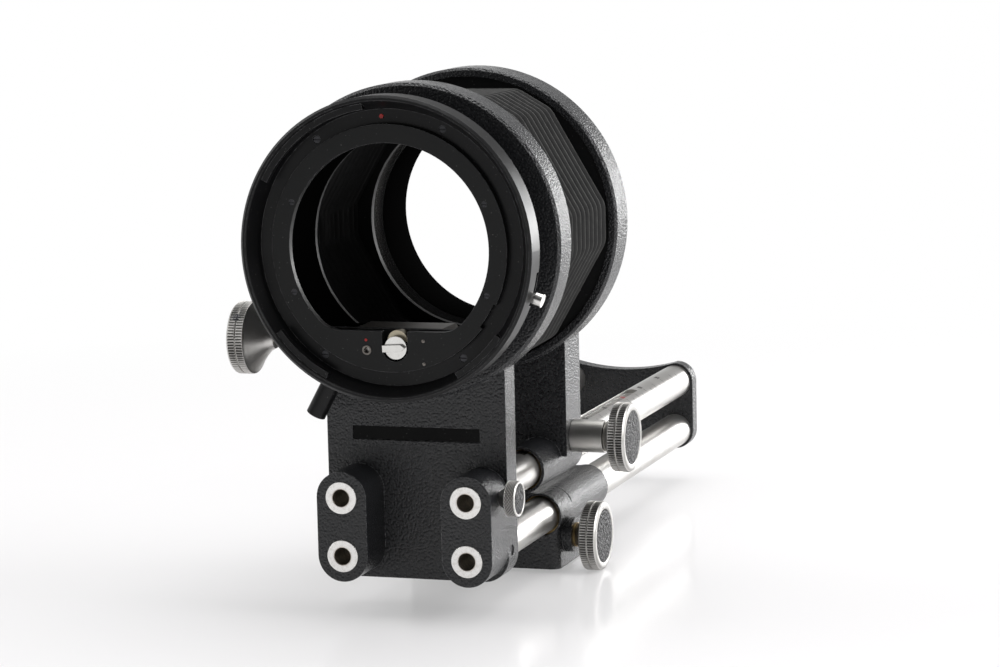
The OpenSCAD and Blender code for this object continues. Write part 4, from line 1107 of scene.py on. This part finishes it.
@dataclass
class Studio:
    """Camera, white surround, pale floor and soft lamps."""

    eye: tuple[float, float, float] = (316.09, -945.62, 208.98)
    right: tuple[float, float, float] = (0.94900165, 0.31441699, -0.02319117)
    up: tuple[float, float, float] = (-0.02270559, 0.14152966, 0.98967359)
    ahead: tuple[float, float, float] = (-0.31445243, 0.9386753, -0.1414509)
    lens: float = 120.786
    floor_z: float = -1.15
    boxes: list[Softbox] = field(default_factory=lambda: [
        Softbox("right softbox", (0.85, 0.10, 0.45), 0.7, 7.0),
        Softbox("left softbox", (-0.75, -0.15, 0.55), 0.6, 3.0),
        Softbox("top softbox", (0.05, 0.15, 0.95), 0.8, 6.0),
        Softbox("rear softbox", (0.42, 0.95, 0.10), 0.45, 5.0),
    ])

    def camera(self) -> None:
        """Sets the camera where the photograph was taken from."""
        data = bpy.data.cameras.new("view")
        data.sensor_width, data.lens = 36.0, self.lens
        data.clip_start, data.clip_end = 0.01, 50.0
        holder = bpy.data.objects.new("view", data)
        bpy.context.scene.collection.objects.link(holder)
        turn = Matrix((self.right, self.up, [-c for c in self.ahead])).transposed()
        holder.matrix_world = Matrix.Translation(Vector(self.eye) * MM) @ turn.to_4x4()
        bpy.context.scene.camera = holder

    def surround(self) -> None:
        """Paints the world white where it is seen or mirrored, and soft where it lights."""
        world = bpy.data.worlds.new("studio")
        bpy.context.scene.world = world
        world.use_nodes = True
        world.node_tree.nodes.clear()
        bench = NodeBench(world.node_tree)
        _, y, z = bench.axes(bench.node("ShaderNodeTexCoord").outputs["Generated"])
        path = bench.node("ShaderNodeLightPath")
        seen = Signal(bench, path.outputs["Is Camera Ray"])
        # the backdrop is bright low down, the room above it and behind the photographer is darker
        backdrop = z.ramp(0.05, 0.24, 1.1, 0.35) + z.ramp(0.45, 0.8, 0.0, 0.5)
        room = y.ramp(-0.75, 0.35, 0.22, 1.0) * backdrop
        strength = seen + (1.0 - seen) * room * 0.95
        glow = bench.node("ShaderNodeBackground", {"Color": WHITE, "Strength": strength})
        bench.node("ShaderNodeOutputWorld", {0: glow.outputs[0]})

    def floor(self) -> None:
        """Lays a pale floor that fades into the white surround."""
        bpy.ops.object.select_all(action="DESELECT")
        bpy.ops.mesh.primitive_plane_add(size=6.0, location=(0, 0.6, self.floor_z * MM))
        slab = bpy.context.object
        slab.name = "floor"
        bpy.ops.object.transform_apply(location=True)
        paper = bpy.data.materials.new("pale floor")
        paper.use_nodes = True
        paper.node_tree.nodes.clear()
        bench = NodeBench(paper.node_tree)
        matt = bench.node("ShaderNodeBsdfPrincipled")
        bench.coat(matt, colour=(0.86, 0.845, 0.855, 1.0), roughness=0.16, specular=0.35)
        white = bench.node("ShaderNodeEmission", {"Color": WHITE})
        x, y, _ = bench.axes(bench.place())
        fade = x.hypotenuse(y - 0.02).ramp(0.16, 0.5, 0.35, 1.0)
        mix = bench.node("ShaderNodeMixShader", {0: fade, 1: matt.outputs[0], 2: white.outputs[0]})
        bench.node("ShaderNodeOutputMaterial", {0: mix.outputs[0]})
        slab.data.materials.append(paper)

    def build(self) -> None:
        """Sets up the whole studio."""
        self.camera()
        self.surround()
        self.floor()
        for box in self.boxes:
            box.light(Vector((0.0, 0.0, 0.07)))
        bpy.context.scene.view_settings.view_transform = "Standard"


def dress(table: dict[Finish, tuple[str, ...]]) -> None:
    """Gives CAD nodes their finishes."""
    for finish, names in table.items():
        for name in names:
            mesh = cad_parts[name].data
            mesh.materials.clear()
            mesh.materials.append(finish.material())
    log.info("dressed %d CAD nodes", sum(len(names) for names in table.values()))


def main() -> None:
    """Builds the studio and the sub-assemblies in order."""
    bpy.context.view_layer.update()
    Studio().build()
    dress(CAD_DRESS)
    for part in [PleatedBellows(), *knob_set(), ClampScrew(), RailScale(), RingDetails()]:
        for made in part.build():
            log.info("piece %s", made.name)
    dress(COVERED)
    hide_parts("focus_knob_inlays")
    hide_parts("tripod_knob_inlay")


if __name__ == "__main__":
    logging.basicConfig(level=logging.INFO, format="%(message)s")
    main()
